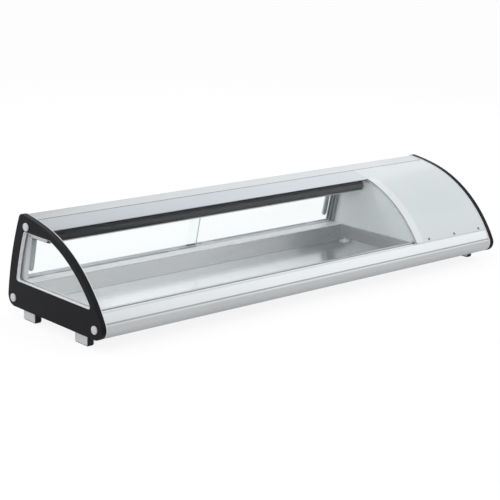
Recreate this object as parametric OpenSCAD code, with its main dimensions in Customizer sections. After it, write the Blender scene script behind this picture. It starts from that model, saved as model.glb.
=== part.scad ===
/* [Case] */
// Overall length over both cheeks
case_l = 1500; // [1400:10:1800]
// Overall depth from nose to heel
case_d = 415; // [412:1:424]
// Radius of the curved front
front_r = 392; // [388:1:398]
// Radius of the flatter crown behind the curved front
crown_r = 760; // [700:10:900]
// Angle from straight up where the crown meets the curved front
crown_at = 13.6; // [12.5:0.1:14.5]
// Height of the curved front's crest above the lower edge of the cheeks
front_rise = 250; // [244:1:254]
// Radius of the bowed rear edge
rear_r = 799; // [780:1:820]
// Depth of the rear centre under the lower edge of the cheeks
rear_drop = 65; // [60:1:70]
// Height of the feet under the cheeks
foot_h = 31; // [28:1:40]

/* [Cheeks] */
// Thickness of a cheek
cheek_t = 15; // [13:0.5:18]
// Radius of the nose and of the heel
nose_r = 28; // [26:1:30]
// Radius of the top rear corner
back_r = 15; // [14:1:18]
// Width of the rim in front of the window
front_rim = 16.6; // [14:0.1:20]
// Width of the rim behind the window
rear_rim = 31; // [28:1:34]
// Height of the window's lower edge above the cheek's lower edge
window_low = 71; // [68:1:74]
// Height of the window
window_h = 139; // [130:1:142]
// Corner radius of the window
window_corner = 8; // [6:1:10]
// Radius of a bolt cap
cap_r = 11; // [10:0.5:12]
// Distance of the front cap from the nose
front_cap_in = 28; // [27:0.5:30]
// Height of the front cap above the cheek's lower edge
front_cap_up = 26; // [24:0.5:28]
// Distance of the rear cap from the heel
rear_cap_in = 26; // [25:0.5:28]
// Height of the rear cap above the cheek's lower edge
rear_cap_up = 23; // [22:0.5:26]
// Distance of the top cap from the heel
top_cap_in = 90.5; // [89:0.5:92]
// Height of the top cap above the window
top_cap_up = 14; // [13:0.5:15]
// Height of a bolt cap over the cheek
cap_proud = 5; // [3:0.5:6]
// Step from the cheek's edge down to the front skin
skin_step = 2.5; // [2:0.1:3.5]
// Width of the light strip between a cheek and the glass
strip_w = 3; // [2:0.5:4]

/* [Glass] */
// Thickness of the curved front glass
glass_t = 5; // [4:0.5:6]
// Thickness of the pane in the left cheek
end_pane_t = 4; // [3:0.5:5]
// Depth of the trim in front of the groove in the top profile
trim_w = 67.5; // [60:0.5:72]
// Distance of the groove in the top profile from the heel
top_groove = 113.5; // [110:0.5:118]

/* [Front and rear profiles] */
// Height of the front profile's upper edge above the cheek's lower edge
seat_h = 69; // [67:1:70]
// Height of the front groove above the cheek's lower edge
groove_h = 41.8; // [38:0.1:46]
// Width of the grooves in the profiles
groove_w = 2.4; // [1.5:0.1:3]
// Wall of the extruded profiles
wall = 2.2; // [1.8:0.1:2.6]
// Radius of the bead along the front profile
bead_r = 2.2; // [1.8:0.1:2.4]

/* [Well] */
// Height of the well's rim above the cheek's lower edge
rim_h = 71; // [70:1:72]
// Depth of the well
well_depth = 42; // [36:1:44]
// Distance of the well from the rear web
well_back = 29; // [27:1:34]
// Distance of the well from the ends of the chamber
well_side = 7.5; // [7:0.5:10]
// Distance of the drain plug from the well's right wall
drain_side = 4; // [3:0.5:20]
// Distance of the drain plug from the well's rear wall
drain_back = 12; // [6:1:40]
// Sheet of the well
well_t = 1.5; // [1.2:0.1:2]
// Slope of the well's walls, run in at the bottom
well_draft = 13; // [8:1:16]
// Radius of the drain plug
plug_r = 15; // [12:0.5:18]
// Outer radius of the drain pipe
drain_r = 9; // [8:0.5:10]

/* [Doors] */
// Distance of the doors' foot from the heel
door_in = 34.5; // [34:0.5:36]
// Lean of the doors towards the front
door_lean = 12; // [11.5:0.1:12.5]
// Thickness of a door pane
pane_t = 5; // [4:0.5:5.5]
// Distance between the two door tracks
track_pitch = 12; // [11:0.5:13]
// Height of a door pane
door_h = 158; // [154:1:160]
// Overlap of the closed doors
door_overlap = 25; // [15:1:40]
// Width of a door handle
handle_w = 15; // [12:1:18]
// Length of a door handle
handle_l = 118; // [100:1:124]
// Width of a door post
post_w = 12; // [11:0.5:14]

/* [Machine] */
// Length of the machine bay from the partition to the right cheek
machine_l = 323; // [318:1:360]
// Radius of the compressor's can
can_r = 60; // [54:1:62]
// Height of the compressor's can
can_h = 132; // [120:1:140]
// Radius of the fan blade
fan_r = 48; // [44:1:50]
// Number of fan blades
fan_blades = 5; // [4:1:7]
// Number of condenser fins
cond_fins = 20; // [12:1:22]
// Number of evaporator fins
evap_fins = 44; // [24:1:60]
// Radius of the condenser and evaporator tube
tube_r = 4.5; // [4:0.1:5]
// Height of the black shroud under the top profile
shroud_h = 28; // [26:1:30]

/* [Controls] */
// Width of the controller
ctrl_w = 76; // [70:1:80]
// Height of the controller
ctrl_h = 34; // [30:1:36]
// Travel of a controller button
button_travel = 1; // [0.5:0.1:1.2]
// Tilt of the power rocker to each side
rocker_tilt = 9; // [6:1:10]

/* [Feet] */
// Width of a foot
foot_w = 22; // [19:1:26]
// Distance of a foot from the end of the case
foot_in = 10; // [8:1:14]
// Distance of the rear feet's centre from the heel
rear_foot_in = 82.5; // [80:0.5:95]
// Distance of the front feet's centre from the nose
front_foot_in = 100.5; // [95:0.5:120]
// Length of a foot
foot_l = 50; // [40:1:56]
// Height of the rubber under the bracket
rubber_drop = 3; // [2:0.5:5]

/* [Hidden] */

// Facets of small round things
$fn = 48;
// Facets of the large arcs
arc_fn = 360;
// Steps of a window's corner and of its curved edges
corner_steps = 6;
edge_steps = 32;
// Overrun of every cut
over = 1;
// Gap between pieces that lie close
gap = 0.3;
// Reach of the half planes that limit the arcs
far = 2 * case_l;

// Colours as the photo shows them
black_plastic = [0.17, 0.17, 0.19];
aluminium = [0.86, 0.87, 0.89];
glass_tint = [0.86, 0.93, 0.93, 0.35];
stainless = [0.75, 0.77, 0.78];
pale_steel = [0.84, 0.87, 0.87];
light_trim = [0.82, 0.81, 0.86];
rubber = [0.16, 0.16, 0.16];
foam = [0.93, 0.87, 0.66];
copper = [0.72, 0.43, 0.26];
black_enamel = [0.10, 0.10, 0.11];
dark_grey = [0.26, 0.27, 0.28];

// Unit vector of a pair
function unit(v) = v / norm(v);
// Depth of a circle's point at a height, on its front or rear side
function at_height(c, r, z, side) = c[0] + side * sqrt(r * r - pow(z - c[1], 2));
// Height of a circle's upper point at a depth
function at_depth(c, r, y) = c[1] + sqrt(r * r - pow(y - c[0], 2));
// Rounded corner of a disc and a level line: centre, radius and the two points where it touches
function level_corner(c, r, side, level, up, fillet) =
    let (z = level + up * fillet, o = [at_height(c, r - fillet, z, side), z])
    [o, fillet, c + r * unit(o - c), [o[0], level]];
// Direction of a pair, counted from the depth axis
function aim(v) = atan2(v[1], v[0]);
// Points along an arc, without its last one
function arc_points(c, r, from, to, steps) = [for (i = [0 : steps - 1])
    c + r * [cos(from + (to - from) * i / steps), sin(from + (to - from) * i / steps)]];
// Upper crossing of two circles, the second one behind the first
function crossing(a, ra, b, rb) =
    let (d = norm(b - a), m = (d * d + ra * ra - rb * rb) / (2 * d), h = sqrt(ra * ra - m * m),
        u = unit(b - a))
    a + m * u + h * [-u[1], u[0]];

// Profile centres in depth and height
front_drop = front_r - front_rise;
front_c = [nose_r - case_d / 2 + sqrt(pow(front_r - nose_r, 2) - pow(nose_r + front_drop, 2)),
    foot_h - front_drop];
crown_c = front_c - (crown_r - front_r) * [-sin(crown_at), cos(crown_at)];
rear_c = [case_d / 2 - nose_r - sqrt(pow(rear_r - nose_r, 2) - pow(nose_r + rear_drop, 2)),
    foot_h - rear_drop];

// Planes along the length
cheek_out = case_l / 2;
cheek_in = cheek_out - cheek_t;
skin_end = cheek_in - strip_w;
partition_x = cheek_in - machine_l;
sheet = 1.5;

// Window of the cheeks
window_r_front = front_r - front_rim;
window_r_rear = rear_r - rear_rim;
window_z = foot_h + window_low;
rabbet_w = 7;
trim_wall = 1.6;

// Skin layers, as depths under the cheek's edge
shelf_in = skin_step + wall + gap;
glass_in = shelf_in;
lip_in = glass_in + glass_t + gap;

// Heights
seat_z = foot_h + seat_h;
groove_z = foot_h + groove_h;
rim_z = foot_h + rim_h;
sill_t = 2.2;
sill_z = rim_z + sill_t;
pan_z = foot_h + skin_step;
pan_top = pan_z + sheet;
well_z = rim_z - well_depth;

// Webs of the profiles
front_web_y = front_c[0] - sqrt(pow(front_r - lip_in - wall, 2) - pow(seat_z - front_c[1], 2)) + 2 * wall;
rear_web_y = case_d / 2 - 2 * nose_r - wall;
boss_r = 6.5;
bolt_r = 3;

// Bolts: depth and height of each
front_bolt = [front_cap_in - case_d / 2, foot_h + front_cap_up];
rear_bolt = [case_d / 2 - rear_cap_in, foot_h + rear_cap_up];
top_bolt = [case_d / 2 - top_cap_in, window_z + window_h + top_cap_up];
bolts = [front_bolt, rear_bolt, top_bolt];

// Doors: foot of the mid plane between the tracks
door_y = case_d / 2 - door_in;
rib_t = 2;
track_half = track_pitch + rib_t / 2;
track_depth = 8;
pane_low = -5;
pane_top = pane_low + door_h;
track_grip = 5;
lift_room = 7;
upper_rib_low = pane_top - track_grip;
upper_base = pane_top + lift_room;
rib_top = 2;
slot_depth = post_w / 2 + gap;
door_play = 1;
chamber_left = -cheek_in + strip_w;
door_from = chamber_left + post_w - slot_depth + door_play;
door_to = partition_x - post_w + slot_depth - door_play;
door_w = (door_to - door_from + door_overlap) / 2;

// Top profile
top_groove_y = case_d / 2 - top_groove;
trim_y = top_groove_y - trim_w;
glass_under = 12;
// Angle from straight up of the curved front's point at a depth
function front_angle(y) = asin((front_c[0] - y) / front_r);

// Well in plan
well_front = front_web_y + 2 * wall;
well_rear = rear_web_y - well_back;
well_left = chamber_left + well_side;
well_right = partition_x - well_side;
flange_w = 6;
drain_x = well_right - well_draft / 2 - plug_r - drain_side;
drain_y = well_rear - well_draft - plug_r - drain_back;

// Shroud under the top profile
shroud_back = 14.5;
shroud_under = 16;
shroud_y = trim_y + shroud_back;
shroud_top = at_depth(front_c, front_r, shroud_y) - shroud_under;
shroud_t = 2;
tray_z = shroud_top - shroud_h;
tray_rear = lean_pt(-track_half, upper_base)[0];
tray_t = 1.2;

// Machine bay
partition_t = 22;
comp_side = 18;
comp_heel = 187.5;
fan_heel = 139.5;
cond_heel = 127.5;
fan_side = 76;
fan_up = 78;
bay_left = partition_x + partition_t;
comp_x = bay_left + can_r + comp_side;
comp_y = case_d / 2 - comp_heel;
grommet_h = 14;
comp_plate_t = 3;
comp_z = pan_top + grommet_h;
fan_x = skin_end - fan_side;
fan_z = pan_top + fan_up;
fan_y = case_d / 2 - fan_heel;
cond_w = 110;
cond_h = 140;
cond_y = case_d / 2 - cond_heel;
cond_d = 36;
cond_up = 8;
cond_over = 4;
cond_z = pan_top + cond_up;
motor_r = 22;
motor_l = 34;

// A disc in the section plane
module disc(c, r) {
    translate(c) circle(r = r, $fn = arc_fn);
}

// Everything between two heights
module between_z(low, high) {
    translate([-far, low]) square([2 * far, high - low]);
}

// Everything between two depths
module between_y(front, rear) {
    translate([front, -far]) square([rear - front, 2 * far]);
}

// Section plane drawn out along the length
module along(from, to) {
    translate([from, 0, 0]) rotate([90, 0, 90]) linear_extrude(height = to - from) children();
}

// A sharp shape whose corners become arcs
module rounded(corners) {
    difference() {
        children();
        for (k = corners) {
            out = unit((k[2] + k[3]) / 2 - k[0]);
            polygon([k[2], k[3], k[3] + 3 * nose_r * out, k[2] + 3 * nose_r * out]);
        }
    }
    for (k = corners) disc(k[0], k[1]);
}

// Region under the curved front and the flatter crown, pulled in by a depth
module bow(depth) {
    intersection() {
        disc(crown_c, crown_r - depth);
        union() {
            disc(front_c, front_r - depth);
            behind(crown_at);
        }
    }
}

// The side in front of an angle on the curved front
module before(angle) {
    translate(front_c) rotate(angle) translate([-far, -far]) square([far, 2 * far]);
}

// The side behind an angle on the curved front
module behind(angle) {
    translate(front_c) rotate(angle) translate([0, -far]) square([far, 2 * far]);
}

// Cheek outline, pulled in by a depth
module outline(depth) {
    top = back_r - depth;
    o = crossing(rear_c, rear_r - back_r, crown_c, crown_r - back_r);
    low = foot_h + depth;
    rounded([
        level_corner(front_c, front_r - depth, -1, low, 1, nose_r - depth),
        level_corner(rear_c, rear_r - depth, 1, low, 1, nose_r - depth),
        [o, top, crown_c + (crown_r - depth) * unit(o - crown_c),
            rear_c + (rear_r - depth) * unit(o - rear_c)]
    ]) intersection() {
        bow(depth);
        disc(rear_c, rear_r - depth);
        between_z(low, far);
    }
}

// Window of a cheek, pulled in by a depth, drawn round from its lower edge
module window(depth) {
    r = window_corner - depth;
    rf = window_r_front - depth;
    rr = window_r_rear - depth;
    low = window_z + depth;
    high = window_z + window_h - depth;
    rear_low = level_corner(rear_c, rr, 1, low, 1, r);
    rear_high = level_corner(rear_c, rr, 1, high, -1, r);
    front_high = level_corner(front_c, rf, -1, high, -1, r);
    front_low = level_corner(front_c, rf, -1, low, 1, r);
    polygon(concat(
        arc_points(rear_low[0], r, -90, aim(rear_low[2] - rear_low[0]), corner_steps),
        arc_points(rear_c, rr, aim(rear_low[2] - rear_c), aim(rear_high[2] - rear_c), edge_steps),
        arc_points(rear_high[0], r, aim(rear_high[2] - rear_high[0]), 90, corner_steps),
        arc_points(front_high[0], r, 90, aim(front_high[2] - front_high[0]), corner_steps),
        arc_points(front_c, rf, aim(front_high[2] - front_c), aim(front_low[2] - front_c), edge_steps),
        arc_points(front_low[0], r, aim(front_low[2] - front_low[0]), 270, corner_steps)));
}

// Curved wall between two depths under the cheek's edge
module skin(depth, t) {
    difference() {
        bow(depth);
        bow(depth + t);
    }
}

// Wall between two depths that also turns round nose and heel
module shell(depth, t) {
    difference() {
        outline(depth);
        outline(depth + t);
    }
}

// Section plane of the leaning doors
module leaned2() {
    translate([door_y, sill_z]) rotate(door_lean) children();
}

// Point of the section plane from a place across and up the leaning doors
function lean_pt(u, v) = [door_y + u * cos(door_lean) - v * sin(door_lean),
    sill_z + u * sin(door_lean) + v * cos(door_lean)];

// Space of the leaning doors: x along the case, y out of the door, z up the door
module leaned() {
    translate([0, door_y, sill_z]) rotate([door_lean, 0, 0]) children();
}

// Flat bar with round ends, drawn in the plane, standing
module stadium(w, h) {
    translate([-w / 2, w / 2]) square([w, h - w]);
    translate([0, w / 2]) circle(r = w / 2);
    translate([0, h - w / 2]) circle(r = w / 2);
}

// Rectangle with round corners, centred
module plate2(w, h, r) {
    square([w - 2 * r, h], center = true);
    square([w, h - 2 * r], center = true);
    for (i = [-1, 1], j = [-1, 1]) translate([i * (w / 2 - r), j * (h / 2 - r)]) circle(r = r);
}

// Both ends of the case: the children and their mirror image
module both_ends() {
    children();
    mirror([1, 0, 0]) children();
}

// A round bar along the length
module bar_x(from, to, at, r) {
    translate([from, at[0], at[1]]) rotate([0, 90, 0]) cylinder(r = r, h = to - from);
}

// Right cheek with its window, rabbet, cap seats and bolt holes
cap_seat = 1.2;
bolt_head_r = 5;
bolt_head_h = 5;
module cheek_body() {
    difference() {
        along(cheek_in, cheek_out) outline(0);
        along(cheek_in - over, cheek_out + over) window(0);
        along(cheek_in - over, cheek_in + end_pane_t) window(-rabbet_w);
        for (b = bolts) {
            bar_x(cheek_out - cap_seat, cheek_out + over, b, cap_r + gap);
            bar_x(cheek_out - cap_seat - bolt_head_h, cheek_out, b, bolt_head_r + gap);
            bar_x(cheek_in - over, cheek_out, b, bolt_r + gap);
        }
    }
}

module left_cheek() {
    color(black_plastic) mirror([1, 0, 0]) cheek_body();
}

module right_cheek() {
    color(black_plastic) cheek_body();
}

// Socket bolts through the cheeks into the ends of the profiles
bolt_l = 40;
socket_r = 2.5;
module cheek_bolts() {
    color(dark_grey) both_ends() for (b = bolts) difference() {
        union() {
            bar_x(cheek_out - cap_seat - bolt_head_h, cheek_out - cap_seat, b, bolt_head_r);
            bar_x(cheek_out - cap_seat - bolt_l, cheek_out - cap_seat - bolt_head_h, b, bolt_r);
        }
        translate([cheek_out - cap_seat - bolt_head_h / 2, b[0], b[1]]) rotate([0, 90, 0])
            cylinder(r = socket_r, h = bolt_head_h, $fn = 6);
    }
}

// Pale caps over the bolts
cap_edge = 1.5;
module cheek_caps() {
    color(light_trim) both_ends() for (b = bolts) {
        bar_x(cheek_out - cap_seat, cheek_out + cap_proud - cap_edge, b, cap_r);
        bar_x(cheek_out + cap_proud - cap_edge, cheek_out + cap_proud, b, cap_r - cap_edge / 2);
    }
}

// Light strips between the cheeks and all that ends there
strip_step = 1;
strip_ring = 12;
module end_strips() {
    color(light_trim) both_ends() along(skin_end, cheek_in) shell(strip_step, strip_ring);
}

// Pale lining of both windows
module window_trims() {
    color(light_trim) both_ends() along(cheek_in + end_pane_t, cheek_out - strip_step) difference() {
        window(gap);
        window(gap + trim_wall);
    }
}

module left_end_pane() {
    color(glass_tint) mirror([1, 0, 0]) along(cheek_in, cheek_in + end_pane_t - gap / 2)
        window(gap - rabbet_w);
}

// Curved glass from under the trim down into the front profile
module front_glass() {
    color(glass_tint) along(-skin_end, partition_x + sheet) intersection() {
        skin(glass_in, glass_t);
        between_z(seat_z - 6 * wall + gap, far);
        before(front_angle(trim_y + glass_under));
    }
}

// Boss for a cheek bolt with a rib to the wall
module boss2(at, turn, length) {
    difference() {
        union() {
            translate(at) circle(r = boss_r);
            translate(at) rotate(turn) translate([-wall / 2, 0]) square([wall, length]);
        }
        translate(at) circle(r = bolt_r + gap / 4);
    }
}

// Track ribs of both doors between two heights on the door
module ribs2(low, high) {
    for (i = [-1, 0, 1]) translate([i * track_pitch - rib_t / 2, low]) square([rib_t, high - low]);
}

// Aluminium extrusion over the doors: crown band, shelf for the trim, upper tracks
module top_profile() {
    color(aluminium) along(-skin_end, skin_end) difference() {
        union() {
            intersection() {
                shell(skin_step, wall);
                between_y(top_groove_y, far);
                union() {
                    between_z(lean_pt(track_half, upper_base)[1], far);
                    between_y(-far, top_bolt[0]);
                }
            }
            intersection() {
                skin(shelf_in, wall);
                between_y(shroud_y, top_groove_y + 3 * wall);
            }
            intersection() {
                skin(skin_step, shelf_in + wall - skin_step);
                between_y(top_groove_y + wall, top_groove_y + 3 * wall);
            }
            leaned2() {
                ribs2(upper_rib_low, upper_base);
                translate([-track_half, upper_base]) square([2 * track_half, rib_t]);
            }
            boss2(top_bolt, 0, at_depth(crown_c, crown_r, top_bolt[0]) - top_bolt[1]
                - skin_step - wall / 2);
            translate([top_bolt[0], top_bolt[1] + boss_r - wall])
                square([lean_pt(rib_t / 2 - track_half, upper_base)[0] - top_bolt[0], wall]);
        }
        translate(top_bolt) circle(r = bolt_r + gap / 4);
        between_z(-far, seat_z);
    }
}

// Lower band of the top: it clips on the shelf and covers the glass edge
module top_trim() {
    color(aluminium) along(-skin_end, partition_x + sheet) intersection() {
        skin(skin_step, wall);
        between_y(-far, top_groove_y - groove_w);
        between_z(seat_z, far);
        behind(front_angle(trim_y));
    }
}

// Bullnose extrusion: glass seat, bead, groove, nose, web and bolt boss
module front_profile() {
    color(aluminium) along(-skin_end, skin_end) difference() {
        union() {
            intersection() {
                shell(strip_step / 2, wall);
                between_z(-far, groove_z - groove_w / 2);
                between_y(-far, front_web_y);
            }
            intersection() {
                shell(skin_step, wall);
                between_z(groove_z + groove_w / 2, seat_z - bead_r);
                between_y(-far, front_web_y);
            }
            intersection() {
                shell(strip_step / 2 + wall, 2 * wall);
                between_z(groove_z - 3 * wall, groove_z + 3 * wall);
                between_y(-far, front_web_y);
            }
            intersection() {
                skin(skin_step, lip_in + wall - skin_step);
                between_z(seat_z - 7 * wall, seat_z - 6 * wall);
                between_y(-far, front_web_y);
            }
            intersection() {
                skin(lip_in, wall);
                between_z(seat_z - 7 * wall, seat_z);
                between_y(-far, front_web_y);
            }
            intersection() {
                translate([at_height(front_c, front_r - skin_step - bead_r, seat_z - bead_r, -1),
                    seat_z - bead_r]) circle(r = bead_r);
                skin(strip_step, skin_step + wall - strip_step);
            }
            translate([front_web_y - wall, pan_z]) square([wall, rim_z - well_t - pan_z]);
            translate([front_bolt[0], pan_z]) square([front_web_y - front_bolt[0], wall]);
            intersection() {
                bow(lip_in);
                translate([front_c[0] - front_r, seat_z - 7 * wall])
                    square([front_r + front_web_y - front_c[0], wall]);
            }
            translate(front_bolt) circle(r = boss_r);
            translate([front_bolt[0], front_bolt[1] - wall / 2]) square([front_web_y - front_bolt[0], wall]);
        }
        translate(front_bolt) circle(r = bolt_r + gap / 4);
    }
}

// Extrusion under the doors: sill, lower tracks, rear skin and bolt boss
module rear_profile() {
    color(aluminium) along(-skin_end, skin_end) difference() {
        union() {
            intersection() {
                shell(skin_step, wall);
                between_z(-far, seat_z - wall);
                between_y(rear_web_y, far);
            }
            translate([rear_web_y, pan_z]) square([wall, rim_z - pan_z]);
            translate([well_rear + sill_t, rim_z])
                square([door_y - track_pitch - well_rear - sill_t, sill_t]);
            leaned2() {
                ribs2(-track_depth, rib_top);
                translate([-track_half, -track_depth - rib_t]) square([2 * track_half, rib_t]);
            }
            difference() {
                translate([lean_pt(track_half, -track_depth)[0] - wall, seat_z - 2 * wall])
                    square([2 * nose_r, wall]);
                difference() {
                    between_y(-far, far);
                    outline(skin_step);
                }
            }
            translate(rear_bolt) circle(r = boss_r);
            translate([rear_web_y, rear_bolt[1] - wall / 2]) square([rear_bolt[0] - rear_web_y, wall]);
        }
        translate(rear_bolt) circle(r = bolt_r + gap / 4);
    }
}

// Sheet pan under the whole case, with a return flange along both webs
pan_flange = 14;
module base_pan() {
    color(pale_steel) difference() {
        along(-skin_end, skin_end) {
            translate([front_web_y, pan_z]) square([rear_web_y - front_web_y, sheet]);
            translate([front_web_y, pan_z]) square([sheet, pan_flange]);
            translate([rear_web_y - sheet, pan_z]) square([sheet, pan_flange]);
        }
        translate([drain_x, drain_y, 0]) cylinder(r = drain_r + gap, h = rim_z);
    }
}

// Space of the well, grown by a thickness
module well_space(grow) {
    intersection() {
        along(well_left - grow, well_right + grow) polygon([
            [well_front - grow, rim_z + over],
            [well_front + well_draft - grow, well_z - grow],
            [well_rear - well_draft + grow, well_z - grow],
            [well_rear + grow, rim_z + over]]);
        translate([0, well_front - grow, 0]) mirror([0, 1, 0]) rotate([90, 0, 0])
            linear_extrude(height = well_rear - well_front + 2 * grow) polygon([
                [well_left - grow, rim_z + over],
                [well_left + well_draft / 2 - grow, well_z - grow],
                [well_right - well_draft / 2 + grow, well_z - grow],
                [well_right + grow, rim_z + over]]);
    }
}

// Stainless display well with its rim flange and drain hole
module well_liner() {
    color(stainless) difference() {
        union() {
            intersection() {
                well_space(well_t);
                translate([-far, -far, 0]) cube([2 * far, 2 * far, rim_z]);
            }
            translate([well_left - flange_w, well_front - 2 * wall, rim_z - well_t])
                cube([well_right - well_left + 2 * flange_w,
                    well_rear - well_front + 2 * wall + flange_w, well_t]);
        }
        well_space(0);
        translate([drain_x, drain_y, 0]) cylinder(r = drain_r - well_t, h = rim_z);
    }
}

// Foam between pan and well
module base_insulation() {
    color(foam) difference() {
        translate([chamber_left, front_web_y + sheet, pan_top])
            cube([partition_x - chamber_left, rear_web_y - front_web_y - 2 * sheet,
                rim_z - well_t - pan_top]);
        well_space(well_t);
        translate([drain_x, drain_y, 0]) cylinder(r = drain_r + gap, h = rim_z);
    }
}

// Pipe from the drain hole down through the base
drain_end = 12;
drain_wall = 1.6;
drain_collar = 4;
module drain_pipe() {
    color(light_trim) translate([drain_x, drain_y, 0]) difference() {
        union() {
            translate([0, 0, drain_end]) cylinder(r = drain_r, h = well_z - well_t - drain_end);
            translate([0, 0, pan_z - drain_collar]) cylinder(r = drain_r + drain_collar, h = drain_collar);
        }
        translate([0, 0, drain_end - over]) cylinder(r = drain_r - drain_wall, h = rim_z);
    }
}

// Plug with a stem in the drain hole and a grip on top
plug_t = 2.5;
grip_r = 4;
grip_h = 6;
stem_l = 12;
module drain_plug() {
    color(light_trim) translate([drain_x, drain_y, well_z + gap]) {
        cylinder(r = plug_r, h = plug_t);
        translate([0, 0, plug_t]) cylinder(r = grip_r, h = grip_h);
        translate([0, 0, -stem_l]) cylinder(r = drain_r - drain_wall - gap, h = stem_l);
    }
}

// Section of the partition: the part before the doors and the part between the tracks
module partition2(depth) {
    difference() {
        intersection() {
            bow(depth);
            between_z(pan_top, far);
            between_y(front_web_y + sheet, far);
            leaned2() translate([-far, -far]) square([far - track_half - gap, 2 * far]);
        }
        translate([well_rear + sill_t - gap, rim_z - gap]) square([far, sill_t + 2 * gap]);
        translate([top_bolt[0] - boss_r - gap, top_bolt[1] - boss_r - gap]) square(far);
        translate([rear_web_y - sheet, rim_z - far]) square(far);
    }
    leaned2() translate([-track_half - 2 * rib_t, rib_top + rib_t])
        square([track_half + track_pitch + 2 * rib_t, upper_rib_low - rib_top - 2 * rib_t]);
}

// Hole in the partition for the pipes
pipe_hole_r = 8;
module partition_panel() {
    color(pale_steel) difference() {
        along(partition_x, partition_x + sheet) partition2(lip_in + wall + gap);
        bar_x(partition_x - over, partition_x + sheet + over, evap_at(evap_rows - 1), pipe_hole_r);
    }
}

module partition_insulation() {
    color(foam) difference() {
        along(partition_x + sheet, bay_left) partition2(lip_in + wall + gap);
        bar_x(partition_x, bay_left + over, evap_at(evap_rows - 1), pipe_hole_r);
    }
}

// Rubber strip between the partition and the front skin
module partition_seal() {
    color(rubber) along(partition_x + sheet + gap, bay_left) intersection() {
        skin(shelf_in + wall / 2, lip_in + wall - shelf_in - wall / 2);
        between_z(seat_z + wall, far);
        before(front_angle(trim_y - glass_under));
    }
}

// Posts at both ends of the door opening, with a slot for each door
slot_play = 0.8;
post_low = track_half * tan(door_lean) + gap;
module post(from, slot_from) {
    leaned() difference() {
        translate([from, -track_half, post_low])
            cube([post_w, 2 * track_half, upper_rib_low - post_low]);
        for (i = [-1, 1])
            translate([slot_from, i * track_pitch / 2 - pane_t / 2 - slot_play, rib_top - over])
            cube([slot_depth + over, pane_t + 2 * slot_play, upper_rib_low - rib_top + 2 * over]);
    }
}

module door_posts() {
    color(dark_grey) {
        post(chamber_left, chamber_left + post_w - slot_depth);
        post(partition_x - post_w, partition_x - post_w - over);
    }
}

// Frameless door pane; side is the track, -1 inside and 1 outside
module pane(from, side) {
    color(glass_tint) leaned() translate([from, side * track_pitch / 2 - pane_t / 2, pane_low])
        cube([door_w, pane_t, door_h]);
}

module left_door() {
    pane(door_from, -1);
}

module right_door() {
    pane(door_to - door_w, 1);
}

// Handle strip on the outer face of a pane
handle_low = 18;
handle_edge = 6;
inner_handle_t = 4;
outer_handle_t = 6;
module handle(x, side, t) {
    color(light_trim) leaned() translate([x, side * track_pitch / 2 + pane_t / 2 + t, handle_low])
        rotate([90, 0, 0]) linear_extrude(height = t) stadium(handle_w, handle_l);
}

module left_door_handle() {
    handle(door_from + slot_depth + handle_edge + handle_w / 2, -1, inner_handle_t);
}

module right_door_handle() {
    handle(door_to - slot_depth - handle_edge - handle_w / 2, 1, outer_handle_t);
}

// Plastic glides on the lower and upper edge of a pane
glide_l = 40;
glide_inset = 60;
glide_play = 0.4;
module glides(from, side) {
    glide_t = track_pitch - rib_t - 2 * glide_play;
    starts = [from + glide_inset, from + door_w - glide_inset - glide_l];
    color(rubber) leaned() for (x = starts) difference() {
        union() {
            translate([x, side * track_pitch / 2 - glide_t / 2, gap - track_depth])
                cube([glide_l, glide_t, track_depth + rib_top - 2 * gap]);
            translate([x, side * track_pitch / 2 - glide_t / 2, upper_rib_low + gap])
                cube([glide_l, glide_t, upper_base - upper_rib_low - 2 * gap]);
        }
        translate([x - over, side * track_pitch / 2 - pane_t / 2, pane_low])
            cube([glide_l + 2 * over, pane_t, door_h]);
    }
}

module left_door_glides() {
    glides(door_from, -1);
}

module right_door_glides() {
    glides(door_to - door_w, 1);
}

// Black shroud: its front leans back above and below its foremost edge
shroud_shares = [[0.42, 1], [0.2, 0.93], [0.03, 0.6], [0, 0.45], [0.06, 0.22], [0.2, 0]];
shroud_depth = 38;
module evaporator_shroud() {
    low = tray_z + tray_t + gap;
    front = [for (p = shroud_shares) [shroud_y + shroud_depth * p[0], low + shroud_h * p[1]]];
    back = [for (i = [len(front) - 1 : -1 : 0]) front[i] + [shroud_t, 0]];
    shelf = at_depth(front_c, front_r - shelf_in - wall, front[0][0]);
    color(black_enamel) along(-skin_end + gap, partition_x - gap) {
        polygon(concat(front, back));
        translate(front[0] - [0, shroud_t]) square([shroud_t, shelf - front[0][1] + shroud_t - 2 * gap]);
    }
}

// Tray under the evaporator with a front lip and a rear hanger
tray_lip = 3;
module drip_tray() {
    lip_y = shroud_y + 2 * tray_t;
    color(aluminium) along(-skin_end + gap, partition_x - gap) {
        translate([lip_y, tray_z]) square([tray_rear - lip_y, tray_t]);
        translate([lip_y - tray_t, tray_z]) square([tray_t, tray_lip]);
        translate([tray_rear - tray_t, tray_z]) square([tray_t,
            sill_z + upper_base * cos(door_lean) - track_half * sin(door_lean) - tray_z - gap]);
    }
}

// Evaporator: finned serpentine in the tray
evap_inset = 33;
evap_back = 24;
evap_from = chamber_left + evap_inset;
evap_to = partition_x - evap_inset;
fin_t = 0.8;
fin_under = 6;
fin_h = shroud_h - fin_under;
fin_y = shroud_y + evap_back;
evap_rear = 10;
fin_d = floor(tray_rear - evap_rear - fin_y);
evap_rows = 4;
evap_pitch = fin_d / evap_rows;
function evap_at(i) = [fin_y + fin_d / 2 + (i - (evap_rows - 1) / 2) * evap_pitch,
    tray_z + tray_t + fin_h / 2];
module evaporator_fins() {
    step = (evap_to - evap_from) / (evap_fins - 1);
    color(aluminium) difference() {
        for (i = [0 : evap_fins - 1]) translate([evap_from + i * step, fin_y, tray_z + tray_t])
            cube([fin_t, fin_d, fin_h]);
        for (i = [0 : evap_rows - 1])
            bar_x(evap_from - over, evap_to + 2 * over, evap_at(i), tube_r + gap / 3);
    }
}

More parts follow.
